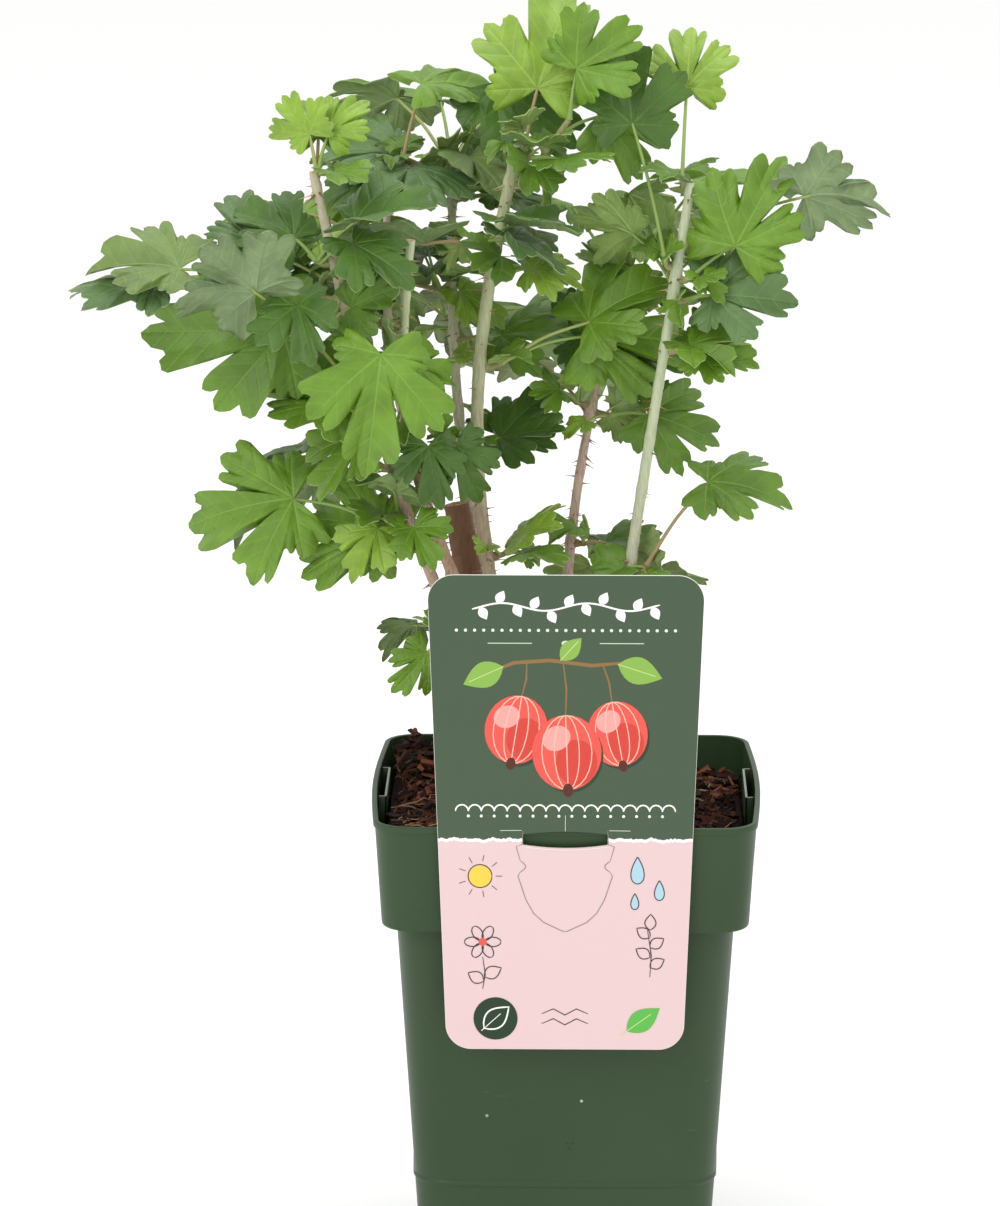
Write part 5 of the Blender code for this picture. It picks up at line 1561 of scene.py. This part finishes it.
def shade_code(code):
    """A paler hex colour for veins seen from below."""
    shares = [int(code[place:place + 2], 16) for place in (1, 3, 5)]
    return "#" + "".join(f"{round(share + (255 - share) * 0.22):02X}" for share in shares)


def piece_of_blades(name, blades, looks):
    """Join leaf blades into one piece; each brings the number of its tint's first material."""
    points, maps, fours, threes, four_slots, three_slots = [], [], [], [], [], []
    base = 0
    for (spots, four, four_marks, three, three_marks, flat_map), first in blades:
        points.append(spots)
        maps.append(flat_map)
        fours.append(four + base)
        threes.append(three + base)
        four_slots.append(four_marks + first)
        three_slots.append(three_marks + first)
        base += len(spots)
    groups = [(np.vstack(fours), np.concatenate(four_slots)), (np.vstack(threes), np.concatenate(three_slots))]
    mesh = mesh_of_arrays(name, np.vstack(points), groups, np.vstack(maps), LEAF_SHARP)
    return add_piece(name, mesh, looks)


def limb_relief(name, around, height, rough):
    """How far bark stands off a limb: long ridges, flakes and cross wrinkles, in millimetres."""
    seed = Vector((sum(map(ord, name)) * 0.37, 0, 0))
    spot = Vector((math.cos(around) * 1.1, math.sin(around) * 1.1, height / 26)) + seed
    ridges = noise.noise(spot * 2.4)
    flakes = noise.noise(Vector((spot.x * 3.1, spot.y * 3.1, height / 3.4)) + seed)
    wrinkle = noise.noise(Vector((0, 0, height / 1.9)) + seed)
    return rough * (0.55 * ridges + 0.5 * flakes + 0.18 * wrinkle)


def build_bark(settings):
    """Each stem and cane with its bark's relief, swollen nodes and cut top, then all the prickles."""
    grown = bush()
    # Fresh cut wood and pith: give each cut tip its pale ring and darker middle
    wood = plain_material("fresh_cut_wood", "#D9AE96", 0.8, 0.3)
    pith = plain_material("cane_pith", "#9A6F55", 0.9, 0.2)
    branching = [branch.name for branch in BRANCHES]
    for name, limb in grown.limbs.items():
        low_code, high_code, low, high, rough = BARKS[name]
        bark = bark_material(f"bark_of_{name}", low_code, high_code, low, high)
        points = list(limb.points)
        radii = list(limb.radii)
        if name in branching:
            points[0] = points[0] - limb.normals[0] * BRANCH_SUNK
            radii[0] *= 1.25
        elif name != "main_stem":
            points[0] = points[0] - UP * SUCKER_SUNK
            points.insert(1, limb.points[0] + UP * 2)
            radii[0] *= 1.2
            radii.insert(1, limb.radii[0] * 0.95)
        if name != "main_stem":
            radii = [radius * CANE_SHARE for radius in radii]
        path, sizes = smooth_path(points, radii, settings.bark_ring / MM)
        rings = bark_rings(name, path, sizes, rough, settings.bark_sides)
        bm = bmesh.new()
        loops = sweep(bm, rings)
        bm.faces.new(loops[0])
        top = bm.faces.new(loops[-1])
        bmesh.ops.inset_region(bm, faces=[top], thickness=sizes[-1] * 0.1, depth=0.12)
        top.material_index = 1
        bmesh.ops.inset_region(bm, faces=[top], thickness=sizes[-1] * 0.5, depth=-0.1)
        bmesh.ops.inset_region(bm, faces=[top], thickness=sizes[-1] * 0.08, depth=-0.35)
        top.material_index = 2
        if name == "main_stem":
            splinter(top, random.Random(name + " top"))
        piece = piece_of_bmesh("bark_" + name, bm, [bark, wood, pith], 50)
        settle(piece, [name])
    build_prickles(settings, grown)


def bark_rings(name, path, sizes, rough, sides):
    """Rings of bark along a limb, swollen at spurs and old leaf scars and roughened by its relief."""
    nodes = [shoot.height for shoot in SHOOTS if shoot.cane == name]
    scars = range(SCAR_LOW, int(path[-1].z) - 8, SCAR_SPACING)
    rings = []
    start = None
    for place, (centre, size, normal) in enumerate(zip(path, sizes, path_normals(path))):
        size += sum(NODE_SWELL * math.exp(-((centre.z - height) / NODE_SPREAD) ** 2) for height in nodes)
        size += sum(SCAR_SWELL * math.exp(-((centre.z - height) / SCAR_SPREAD) ** 2) for height in scars)
        ring = ring_round(centre, size, normal, sides, start)
        start = ring[0] - centre
        bulged = []
        for index, spot in enumerate(ring):
            far = limb_relief(name, FULL_TURN * index / sides, centre.z + place * 0.2, rough)
            bulged.append(spot + (spot - centre).normalized() * far)
        rings.append(bulged)
    return rings


def splinter(top, rng):
    """Break the old stem's top: its rim rises and falls, as dead wood weathers."""
    ring = {vertex for edge in top.edges for face in edge.link_faces for vertex in face.verts}
    for vertex in ring:
        vertex.co.z += rng.uniform(-2.6, 0.4)


def build_prickles(settings, grown):
    """Fine bristles along the canes and stouter spines under their nodes."""
    tubes, tones = [], []
    for name, limb in grown.limbs.items():
        rng = random.Random(name + " prickles")
        nodes = [shoot.height for shoot in SHOOTS if shoot.cane == name]
        low, high = limb.points[1].z + 4, limb.points[-1].z - 3
        count = int((high - low) * settings.prickle_density * PRICKLY.get(name, 1.0))
        spots = [(rng.uniform(low, high), rng.uniform(*BRISTLE_LENGTHS)) for _ in range(count)]
        spots += [(height - rng.uniform(0, 3), rng.uniform(*SPINE_LENGTHS))
                  for height in nodes for _ in range(3)]
        for height, length in spots:
            centre, radius, along = limb_at(limb, height)
            outward = heading_vector(rng.uniform(0, 360))
            outward = (outward - along * outward.dot(along)).normalized()
            ahead = (outward + along * rng.uniform(-0.55, 0.35)).normalized()
            foot = centre + outward * (radius * CANE_SHARE - 0.35)
            thick = 0.1 + 0.055 * length
            path = [foot, foot + ahead * (length * 0.35 + 0.3), foot + ahead * (length + 0.35)]
            tubes.append(tube_arrays(Limb(path, [thick * 1.5, thick * 0.6, 0.04], [ahead] * 3), 5))
            tones.append(rng.choice((0, 0, 1, 2)))
    # Dry prickle: gives the canes thin straw-coloured and brown points
    looks = [plain_material(f"prickle_{number}", code, 0.55) for number, code in enumerate(PRICKLE_TONES)]
    settle(piece_of_tubes("prickles", tubes, tones, looks))


# Card


def card_outline(inset=0.0):
    """The card's tapering outline with four round corners, as x and z, anticlockwise from the front."""
    corners = (
        (CARD_FOOT_HALF, CARD_FOOT, -90), (CARD_TOP_HALF, CARD_TOP, 0),
        (-CARD_TOP_HALF, CARD_TOP, 90), (-CARD_FOOT_HALF, CARD_FOOT, 180),
    )
    outline = []
    for x, z, start in corners:
        centre_x = x - math.copysign(CARD_CORNER, x)
        centre_z = z + (CARD_CORNER if z < POT_HEIGHT else -CARD_CORNER)
        reach = CARD_CORNER - inset
        for step in range(CARD_CORNER_STEPS + 1):
            angle = math.radians(start + 90 * step / CARD_CORNER_STEPS)
            outline.append((centre_x + reach * math.cos(angle), centre_z + reach * math.sin(angle)))
    return outline


def slab(name, outline, low_y, high_y):
    """A closed cutter or plate made by extruding an outline in x and z along y."""
    bm = bmesh.new()
    face = bm.faces.new([bm.verts.new((x, low_y, z)) for x, z in outline])
    made = bmesh.ops.extrude_face_region(bm, geom=[face])["geom"]
    moved = [item for item in made if isinstance(item, bmesh.types.BMVert)]
    bmesh.ops.translate(bm, verts=moved, vec=(0, high_y - low_y, 0))
    return piece_of_bmesh(name, bm, [])


def arc(low, high, middle_rise, steps=14):
    """Points on a shallow arch between two points in x and z."""
    return [(low[0] + (high[0] - low[0]) * s,
             low[1] + (high[1] - low[1]) * s + middle_rise * 4 * s * (1 - s))
            for s in (step / steps for step in range(steps + 1))]


def build_card(settings):
    """The hanging card with its slit and tab, then the flat print on it."""
    print_look = card_material(settings.card_upper, settings.card_lower)
    # Bare card: gives the cut edges and the back a plain warm white
    edge_look = plain_material("card_core", "#F3EFEA", 0.6)
    back_look = plain_material("card_back", "#EFE9E4", 0.5)
    front, back = CARD_Y - CARD_THICK / 2, CARD_Y + CARD_THICK / 2
    bm = bmesh.new()
    rows = ((back, 0.12), (back - 0.1, 0.0), (front + 0.1, 0.0), (front, 0.12))
    loops = sweep(bm, [[Vector((x, y, z)) for x, z in card_outline(inset)] for y, inset in rows])
    bm.faces.new(loops[0])
    bm.faces.new(loops[-1])
    for face in bm.faces:
        face.material_index = int(len(face.verts) == 4)
    bm.faces.ensure_lookup_table()
    bm.faces[-2].material_index = 2
    card = piece_of_bmesh("hanging_card", bm, [print_look, edge_look, back_look], CARD_SHARP)
    lens = arc((-SLIT_HALF, SLIT_TOP - 1.1), (SLIT_HALF, SLIT_TOP - 1.1), 1.1)
    lens += arc((SLIT_HALF, SLIT_FOOT + 1.3), (-SLIT_HALF, SLIT_FOOT + 1.3), -1.3)
    cut(card, slab("slit_cutter", lens, front - 1, back + 1))
    card.data.set_sharp_from_angle(angle=math.radians(CARD_SHARP))
    settle(card, ["plant_card"])
    over = POT_HEIGHT + CARD_LIFT
    inner = TAB_INNER_Y - CARD_THICK
    centre_line = [(back + 0.05, over + 0.1), (back + 0.5, over + CARD_THICK / 2),
                   (inner - 1.2, over + CARD_THICK / 2), (inner - 0.2, over + CARD_THICK / 2 - 0.3),
                   (inner + CARD_THICK / 2, over - 0.9),
                   (inner + CARD_THICK / 2, TAB_FOOT + 1.0), (inner + CARD_THICK / 2, TAB_FOOT)]
    bm = bmesh.new()
    rings = []
    for place, (y, z) in enumerate(centre_line):
        last = place == len(centre_line) - 1
        before = Vector(centre_line[max(place - 1, 0)])
        after = Vector(centre_line[min(place + 1, len(centre_line) - 1)])
        along = (after - before).normalized()
        side = Vector((-along.y, along.x)) * CARD_THICK / 2
        half = TAB_HALF - (1.2 if last else 0)
        rings.append([Vector((x, y + side.x * s, z + side.y * s)) for x, s in
                      ((-half, 1), (half, 1), (half, -1), (-half, -1))])
    loops = sweep(bm, rings)
    bm.faces.new(loops[0])
    bm.faces.new(loops[-1])
    tab = piece_of_bmesh("card_tab", bm, [back_look], CARD_SHARP)
    settle(tab)
    build_print(front)


class Ink:
    """Flat shapes of ink on the card's front, each in its own colour, later ones over earlier ones."""

    def __init__(self, front):
        self.bm = bmesh.new()
        self.front = front
        self.codes = []
        self.layer = 0

    def patch(self, outline, code):
        """A filled shape from its outline in x and z."""
        if code not in self.codes:
            self.codes.append(code)
        self.layer += 1
        y = self.front - INK_PROUD - INK_LAYER * self.layer
        face = self.bm.faces.new([self.bm.verts.new((x, y, z)) for x, z in outline])
        face.material_index = self.codes.index(code)
        face.normal_update()
        if face.normal.y > 0:
            face.normal_flip()

    def line(self, path, width, code):
        """A drawn line along a path in x and z; its ends taper a little, as a pen's do."""
        spots = [Vector(spot) for spot in path]
        left, right = [], []
        for place, spot in enumerate(spots):
            along = (spots[min(place + 1, len(spots) - 1)] - spots[max(place - 1, 0)]).normalized()
            end = place in (0, len(spots) - 1)
            side = Vector((-along.y, along.x)) * width * (0.3 if end else 0.5)
            left.append(spot + side)
            right.append(spot - side)
        for place in range(len(spots) - 1):
            self.layer -= 1 if place else 0
            quad = (left[place], left[place + 1], right[place + 1], right[place])
            self.patch([tuple(spot) for spot in quad], code)


def oval(x, z, wide, high, turn=0.0, steps=28, start=0.0, end=360.0):
    """Points of a turned oval, or of a part of one."""
    tilt = math.radians(turn)
    spots = []
    for step in range(steps + (end - start < 360)):
        angle = math.radians(start + (end - start) * step / steps)
        across, up = wide * math.cos(angle), high * math.sin(angle)
        spots.append((x + across * math.cos(tilt) - up * math.sin(tilt),
                      z + across * math.sin(tilt) + up * math.cos(tilt)))
    return spots


def leaf_shape(x, z, length, heading, wide=0.34, steps=9):
    """Outline of a simple pointed leaf drawn from its stalk end."""
    turn = math.radians(heading)
    ahead, side = Vector((math.cos(turn), math.sin(turn))), Vector((-math.sin(turn), math.cos(turn)))
    foot = Vector((x, z))
    upper = [foot + ahead * length * s + side * length * wide * math.sin(math.pi * s ** 0.85)
             for s in (step / steps for step in range(steps + 1))]
    lower = [foot + ahead * length * s - side * length * wide * math.sin(math.pi * s ** 0.85)
             for s in (1 - step / steps for step in range(1, steps))]
    return [tuple(spot) for spot in upper + lower]


def closed_line(outline):
    """The outline with its first point again at the end."""
    return list(outline) + [outline[0]]


def draw_berry(ink, x, z, size, hang):
    """A ripe round berry with pale stripes and a dry brown tip, hanging at an angle."""
    ink.patch(oval(x + 1.0, z - 1.3, size * 0.98, size * 1.1, hang), INK["shadow"])
    ink.patch(oval(x, z, size, size * 1.12, hang), INK["berry"])
    ink.patch(oval(x + size * 0.28, z - size * 0.3, size * 0.6, size * 0.68, hang), INK["berry_dark"])
    ink.patch(oval(x - size * 0.3, z + size * 0.42, size * 0.42, size * 0.36, hang + 30), INK["berry_light"])
    tilt = math.radians(hang)
    for bend in (-0.72, -0.36, 0.0, 0.36, 0.72):
        path = []
        for step in range(13):
            angle = math.pi * step / 12
            across, up = size * bend * math.sin(angle), size * 1.1 * math.cos(angle)
            path.append((x + across * math.cos(tilt) - up * math.sin(tilt),
                         z + across * math.sin(tilt) + up * math.cos(tilt)))
        ink.line(path, 0.42, INK["stripe"])
    foot = (x + size * 1.12 * math.sin(tilt), z - size * 1.12 * math.cos(tilt))
    ink.patch(oval(foot[0], foot[1], size * 0.15, size * 0.2, hang), INK["dry"])


def build_print(front):
    """A generic print: a vine, a hanging bunch of berries, a tongue's cut lines with the dark ones as painted
    shade, and garden drawings.
    """
    ink = Ink(front)
    vine = [(x, 288.5 + 1.5 * math.sin(x / 5.2)) for x in np.linspace(-36, 36, 49)]
    ink.line(vine, 0.7, INK["white"])
    for place, x in enumerate(np.arange(-33, 34, 6.6)):
        z = 288.5 + 1.5 * math.sin(x / 5.2)
        ink.patch(leaf_shape(x, z, 5.6, 62 if place % 2 else -62), INK["white"])
    for x in np.arange(-42, 42.1, 3.5):
        ink.patch(oval(x, 279.3, 0.62, 0.62, 0, 10), INK["white"])
    for side in (-1, 1):
        ink.line([(side * 13, 274.2), (side * 30, 274.2)], 0.6, INK["pale"])
    ink.patch(oval(0, 274.2, 1.7, 1.1, 0, 14), INK["pale"])
    twig = [(-31, 262), (-20, 266.5), (-6, 267.5), (10, 265.5), (27, 267)]
    ink.line(twig, 1.5, INK["twig"])
    for x, z, length, heading in ((-24, 265, 17, 205), (20, 266, 18, -18), (-2, 267.5, 12, 48)):
        ink.patch(leaf_shape(x, z, length, heading, 0.3), INK["leaf"])
        turn = math.radians(heading)
        tip = (x + length * 0.85 * math.cos(turn), z + length * 0.85 * math.sin(turn))
        ink.line([(x, z), tip], 0.5, INK["leaf_line"])
    for x, z, size, hang, top in ((-19, 240, 12.2, -9, -15), (20, 238.5, 11.6, 10, 14),
                                  (0.5, 231, 13.4, 2, -1)):
        tilt = math.radians(hang)
        crown = (x - size * 1.12 * math.sin(tilt), z + size * 1.12 * math.cos(tilt))
        bend = ((top + crown[0]) / 2 + 0.8, (266.5 + crown[1]) / 2)
        ink.line([(top, 266.5), bend, crown], 0.8, INK["twig"])
        draw_berry(ink, x, z, size, hang)
    for x in np.arange(-40, 40.1, 5.0):
        ink.line(oval(x, 207.5, 2.5, 2.6, 0, 8, 0, 180), 0.6, INK["white"])
    for x in np.arange(-37.5, 38, 5.0):
        ink.patch(oval(x, 205.6, 0.6, 0.6, 0, 8), INK["white"])
    draw_cut_lines(ink)
    draw_motifs(ink)
    # Printing ink: gives the card its flat, slightly glossy drawings, and the painted shade of the tongue's cut
    looks = [plain_material(f"printing_ink_{number}", code, 0.38) for number, code in enumerate(ink.codes)]
    settle(piece_of_bmesh_flat("card_print", ink.bm, looks))


def draw_cut_lines(ink):
    """The fine lines of the die that cuts the card's tongue and its shoulders; the dark grey ones are painted
    shade in the cut.
    """
    ink.line([(0, 199.6), (0, 206.0)], 0.3, INK["cut_light"])
    for side in (-1, 1):
        ink.line([(side * 17.0, 199.9), (side * 25.2, 199.8)], 0.35, INK["cut_light"])
        # Painted shade: dark grey lines where the tongue's die cut lies in shade
        ink.line([(side * 16.4, 199.8), (side * 16.7, 194.2), (side * 19.0, 193.4), (side * 17.4, 187.6)],
                 0.35, INK["cut"])
        hollow = [(side * (17.4 - 2.1 * math.sin(math.pi * s)), 187.6 - 4.4 * s)
                  for s in np.linspace(0, 1, 8)]
        ink.line(hollow, 0.35, INK["cut"])
        ink.line([(side * 17.4, 183.2), (side * 18.3, 181.6), (side * 15.2, 172.0), (side * 12.2, 166.6),
                  (side * 8.4, 163.0), (side * 0.9, 159.4), (0, 159.2)], 0.35, INK["cut"])
    ink.line(arc((-17.8, 193.6), (17.8, 193.6), -1.5), 0.3, INK["cut_light"])


def draw_motifs(ink):
    """Plain line drawings of garden things on the pink half of the card."""
    line, pen = INK["pen"], 0.42
    sun = Vector((-33, 181.5))
    ink.patch(oval(*sun, 4.6, 4.6), INK["sun"])
    ink.line(closed_line(oval(*sun, 4.6, 4.6)), pen, line)
    for turn in range(0, 360, 40):
        ray = Vector((math.cos(math.radians(turn)), math.sin(math.radians(turn))))
        ink.line([tuple(sun + ray * 6.0), tuple(sun + ray * 8.6)], pen, line)
    for x, z, size in ((28, 184, 5.4), (36.5, 176, 4.0), (27, 171.5, 3.2)):
        drop = [(x + size * 0.62 * math.sin(2 * math.pi * s) * math.sin(math.pi * s),
                 z + size * math.cos(2 * math.pi * s)) for s in np.linspace(0, 1, 25)[:-1]]
        ink.patch(drop, INK["water"])
        ink.line(closed_line(drop), pen, line)
    for turn in range(0, 360, 60):
        tip = Vector((math.cos(math.radians(turn)), math.sin(math.radians(turn)))) * 4.0
        ink.line(closed_line(oval(-32 + tip.x, 155 + tip.y, 3.1, 1.9, turn, 16)), pen, line)
    ink.patch(oval(-32, 155, 1.6, 1.6, 0, 14), INK["berry"])
    ink.line([(-32, 149), (-31, 142), (-32, 136)], pen, line)
    ink.line(closed_line(leaf_shape(-31.4, 141, 7.5, 28)), pen, line)
    ink.line(closed_line(leaf_shape(-31.6, 139, 7.0, 150)), pen, line)
    ink.line([(33, 141), (33.5, 150), (32, 160)], pen, line)
    for z, heading in ((145, 30), (149, 148), (153, 34), (157, 144), (160, 88)):
        ink.line(closed_line(leaf_shape(33, z, 6.4, heading)), pen, line)
    ink.patch(oval(-27, 124, 8.6, 8.6, 0, 36), INK["badge"])
    ink.line(closed_line(leaf_shape(-31.5, 120, 13, 42, 0.3)), 0.6, INK["white"])
    ink.line([(-32.5, 119), (-25, 126)], 0.5, INK["white"])
    ink.patch(leaf_shape(24, 119, 16, 36, 0.28), INK["fresh"])
    ink.line([(22, 117.5), (33.5, 126)], 0.5, INK["leaf_line"])
    for z in (126, 122):
        ink.line([(-9, z), (-4.5, z + 2), (0, z - 0.5), (4.5, z + 2), (9, z)], pen, line)


def piece_of_bmesh_flat(name, bm, materials):
    """Finish flat ink shapes as a piece without touching the way they face."""
    bmesh.ops.scale(bm, vec=(MM, MM, MM), verts=bm.verts)
    mesh = bpy.data.meshes.new(name)
    bm.to_mesh(mesh)
    bm.free()
    return add_piece(name, mesh, materials)


# Stage


def build_stage(settings):
    """Pale studio floor, soft lamps and the camera at the photograph's height and distance."""
    bm = bmesh.new()
    bmesh.ops.create_grid(bm, x_segments=1, y_segments=1, size=FLOOR_HALF)
    mesh = bpy.data.meshes.new("studio_floor")
    bm.to_mesh(mesh)
    bm.free()
    # White paper: gives the pot its soft contact shadow on an even ground
    floor = add_piece("studio_floor", mesh, [plain_material("white_paper", "#FBFBFA", 0.9, 0.1)])
    world = bpy.context.scene.world or bpy.data.worlds.new("studio")
    bpy.context.scene.world = world
    world.use_nodes = True
    shell = world.node_tree.nodes["Background"]
    shell.inputs["Color"].default_value = (1, 1, 1, 1)
    shell.inputs["Strength"].default_value = settings.ambient
    aim = Vector(CAMERA_AIM)
    for name, spot, width, height, power in LAMPS:
        lamp = bpy.data.lights.new(name, "AREA")
        lamp.shape = "RECTANGLE"
        lamp.size, lamp.size_y = width, height
        lamp.energy = power * settings.lamp_share
        holder = bpy.data.objects.new(name, lamp)
        holder.location = spot
        holder.rotation_euler = (aim - Vector(spot)).to_track_quat("-Z", "Y").to_euler()
        bpy.context.scene.collection.objects.link(holder)
    turn, lift = math.radians(CAMERA_TURN), math.radians(CAMERA_RISE)
    away = Vector((math.sin(turn) * math.cos(lift), -math.cos(turn) * math.cos(lift), math.sin(lift)))
    camera = bpy.data.objects.new("camera", bpy.data.cameras.new("camera"))
    camera.data.sensor_width = 36.0
    camera.data.lens = CAMERA_PIXELS * 36.0 / max(IMAGE_SIZE)
    camera.data.clip_end = 60.0
    camera.location = aim + away * CAMERA_DISTANCE
    camera.rotation_euler = (-away).to_track_quat("-Z", "Y").to_euler()
    bpy.context.scene.collection.objects.link(camera)
    bpy.context.scene.camera = camera
    bpy.context.scene.view_settings.view_transform = "Standard"


# Add-on


class BushSettings(bpy.types.PropertyGroup):
    """Sizes and numbers of the plant's small parts."""

    leaf_detail: bpy.props.FloatProperty(
        name="Leaf detail", description="Share of the finest leaf mesh", default=0.9, min=0.3, max=1.0,
        subtype="FACTOR")
    young_count: bpy.props.IntProperty(
        name="Young leaves", description="Small young leaves tried at each spur", default=2, min=0, max=5)
    bark_ring: bpy.props.FloatProperty(
        name="Bark ring", description="Distance between rings of bark relief", default=0.0016,
        min=0.0008, max=0.01, subtype="DISTANCE", unit="LENGTH")
    bark_sides: bpy.props.IntProperty(
        name="Bark sides", description="Points round each stem and cane", default=20, min=8, max=48)
    prickle_density: bpy.props.FloatProperty(
        name="Prickles", description="Prickles for each millimetre of cane", default=0.42, min=0.0, max=2.0)


class PotSettings(bpy.types.PropertyGroup):
    """Colours and numbers of the pot, its filling and its card."""

    pot_colour: bpy.props.FloatVectorProperty(
        name="Pot", description="Colour of the pot's plastic", default=linear("#31462B"), size=3,
        min=0.0, max=1.0, subtype="COLOR")
    card_upper: bpy.props.FloatVectorProperty(
        name="Card top", description="Colour of the card's upper part", default=linear("#374D33"), size=3,
        min=0.0, max=1.0, subtype="COLOR")
    card_lower: bpy.props.FloatVectorProperty(
        name="Card foot", description="Colour of the card's lower part", default=linear("#DCBFC0"), size=3,
        min=0.0, max=1.0, subtype="COLOR")
    chip_count: bpy.props.IntProperty(
        name="Bark chips", description="Chips scattered over the filling", default=2600, min=0, max=6000)
    fibre_count: bpy.props.IntProperty(
        name="Fibres", description="Loose fibres on the filling", default=520, min=0, max=2000)


class StageSettings(bpy.types.PropertyGroup):
    """Light of the studio."""

    ambient: bpy.props.FloatProperty(
        name="Ambient", description="Strength of the white surroundings", default=1.0, min=0.0, max=3.0)
    lamp_share: bpy.props.FloatProperty(
        name="Lamps", description="Share of the lamps' full power", default=1.0, min=0.0, max=3.0,
        subtype="FACTOR")


class BUSH_OT_add_pot(bpy.types.Operator):
    """Add the moulded pot with its pockets and marks"""

    bl_idname = "bush.add_pot"
    bl_label = "Add pot"

    def execute(self, context):
        build_pot(context.scene.bush_pot)
        return {"FINISHED"}


class BUSH_OT_add_medium(bpy.types.Operator):
    """Dress the growing medium with peat, bark chips and fibres"""

    bl_idname = "bush.add_medium"
    bl_label = "Add growing medium"

    def execute(self, context):
        build_medium(context.scene.bush_pot)
        return {"FINISHED"}


class BUSH_OT_add_card(bpy.types.Operator):
    """Add the hanging card and its print"""

    bl_idname = "bush.add_card"
    bl_label = "Add card"

    def execute(self, context):
        build_card(context.scene.bush_pot)
        return {"FINISHED"}


class BUSH_OT_add_canes(bpy.types.Operator):
    """Add the stem and canes with bark relief and prickles"""

    bl_idname = "bush.add_canes"
    bl_label = "Add stem and canes"

    def execute(self, context):
        build_bark(context.scene.bush_plant)
        return {"FINISHED"}


class BUSH_OT_add_leaves(bpy.types.Operator):
    """Add the leaves, young leaves, stalks and spurs"""

    bl_idname = "bush.add_leaves"
    bl_label = "Add leaves"

    def execute(self, context):
        build_leaves(context.scene.bush_plant)
        return {"FINISHED"}


class BUSH_OT_add_stage(bpy.types.Operator):
    """Add the studio floor, lamps and camera"""

    bl_idname = "bush.add_stage"
    bl_label = "Add stage"

    def execute(self, context):
        build_stage(context.scene.bush_stage)
        return {"FINISHED"}


class BUSH_PT_panel(bpy.types.Panel):
    """Lists the steps and their settings"""

    bl_idname = "BUSH_PT_panel"
    bl_label = "Gooseberry Bush"
    bl_space_type = "VIEW_3D"
    bl_region_type = "UI"
    bl_category = "Bush"

    def draw(self, context):
        for group in (context.scene.bush_plant, context.scene.bush_pot, context.scene.bush_stage):
            for key in group.bl_rna.properties.keys():
                if key not in ("rna_type", "name"):
                    self.layout.prop(group, key)
        for operator in OPERATORS:
            self.layout.operator(operator.bl_idname)


OPERATORS = (BUSH_OT_add_pot, BUSH_OT_add_medium, BUSH_OT_add_card, BUSH_OT_add_canes, BUSH_OT_add_leaves,
             BUSH_OT_add_stage)
GROUPS = {"bush_plant": BushSettings, "bush_pot": PotSettings, "bush_stage": StageSettings}


def register():
    """Register the add-on's classes and its settings on the scene."""
    for item in (*GROUPS.values(), *OPERATORS, BUSH_PT_panel):
        bpy.utils.register_class(item)
    for key, group in GROUPS.items():
        setattr(bpy.types.Scene, key, bpy.props.PointerProperty(type=group))


def unregister():
    """Take the settings and classes away again."""
    for key in GROUPS:
        delattr(bpy.types.Scene, key)
    for item in reversed((*GROUPS.values(), *OPERATORS, BUSH_PT_panel)):
        bpy.utils.unregister_class(item)


def main():
    """Register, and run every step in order."""
    register()
    bpy.ops.bush.add_pot()
    bpy.ops.bush.add_medium()
    bpy.ops.bush.add_card()
    bpy.ops.bush.add_canes()
    bpy.ops.bush.add_leaves()
    bpy.ops.bush.add_stage()


if __name__ == "__main__":
    main()
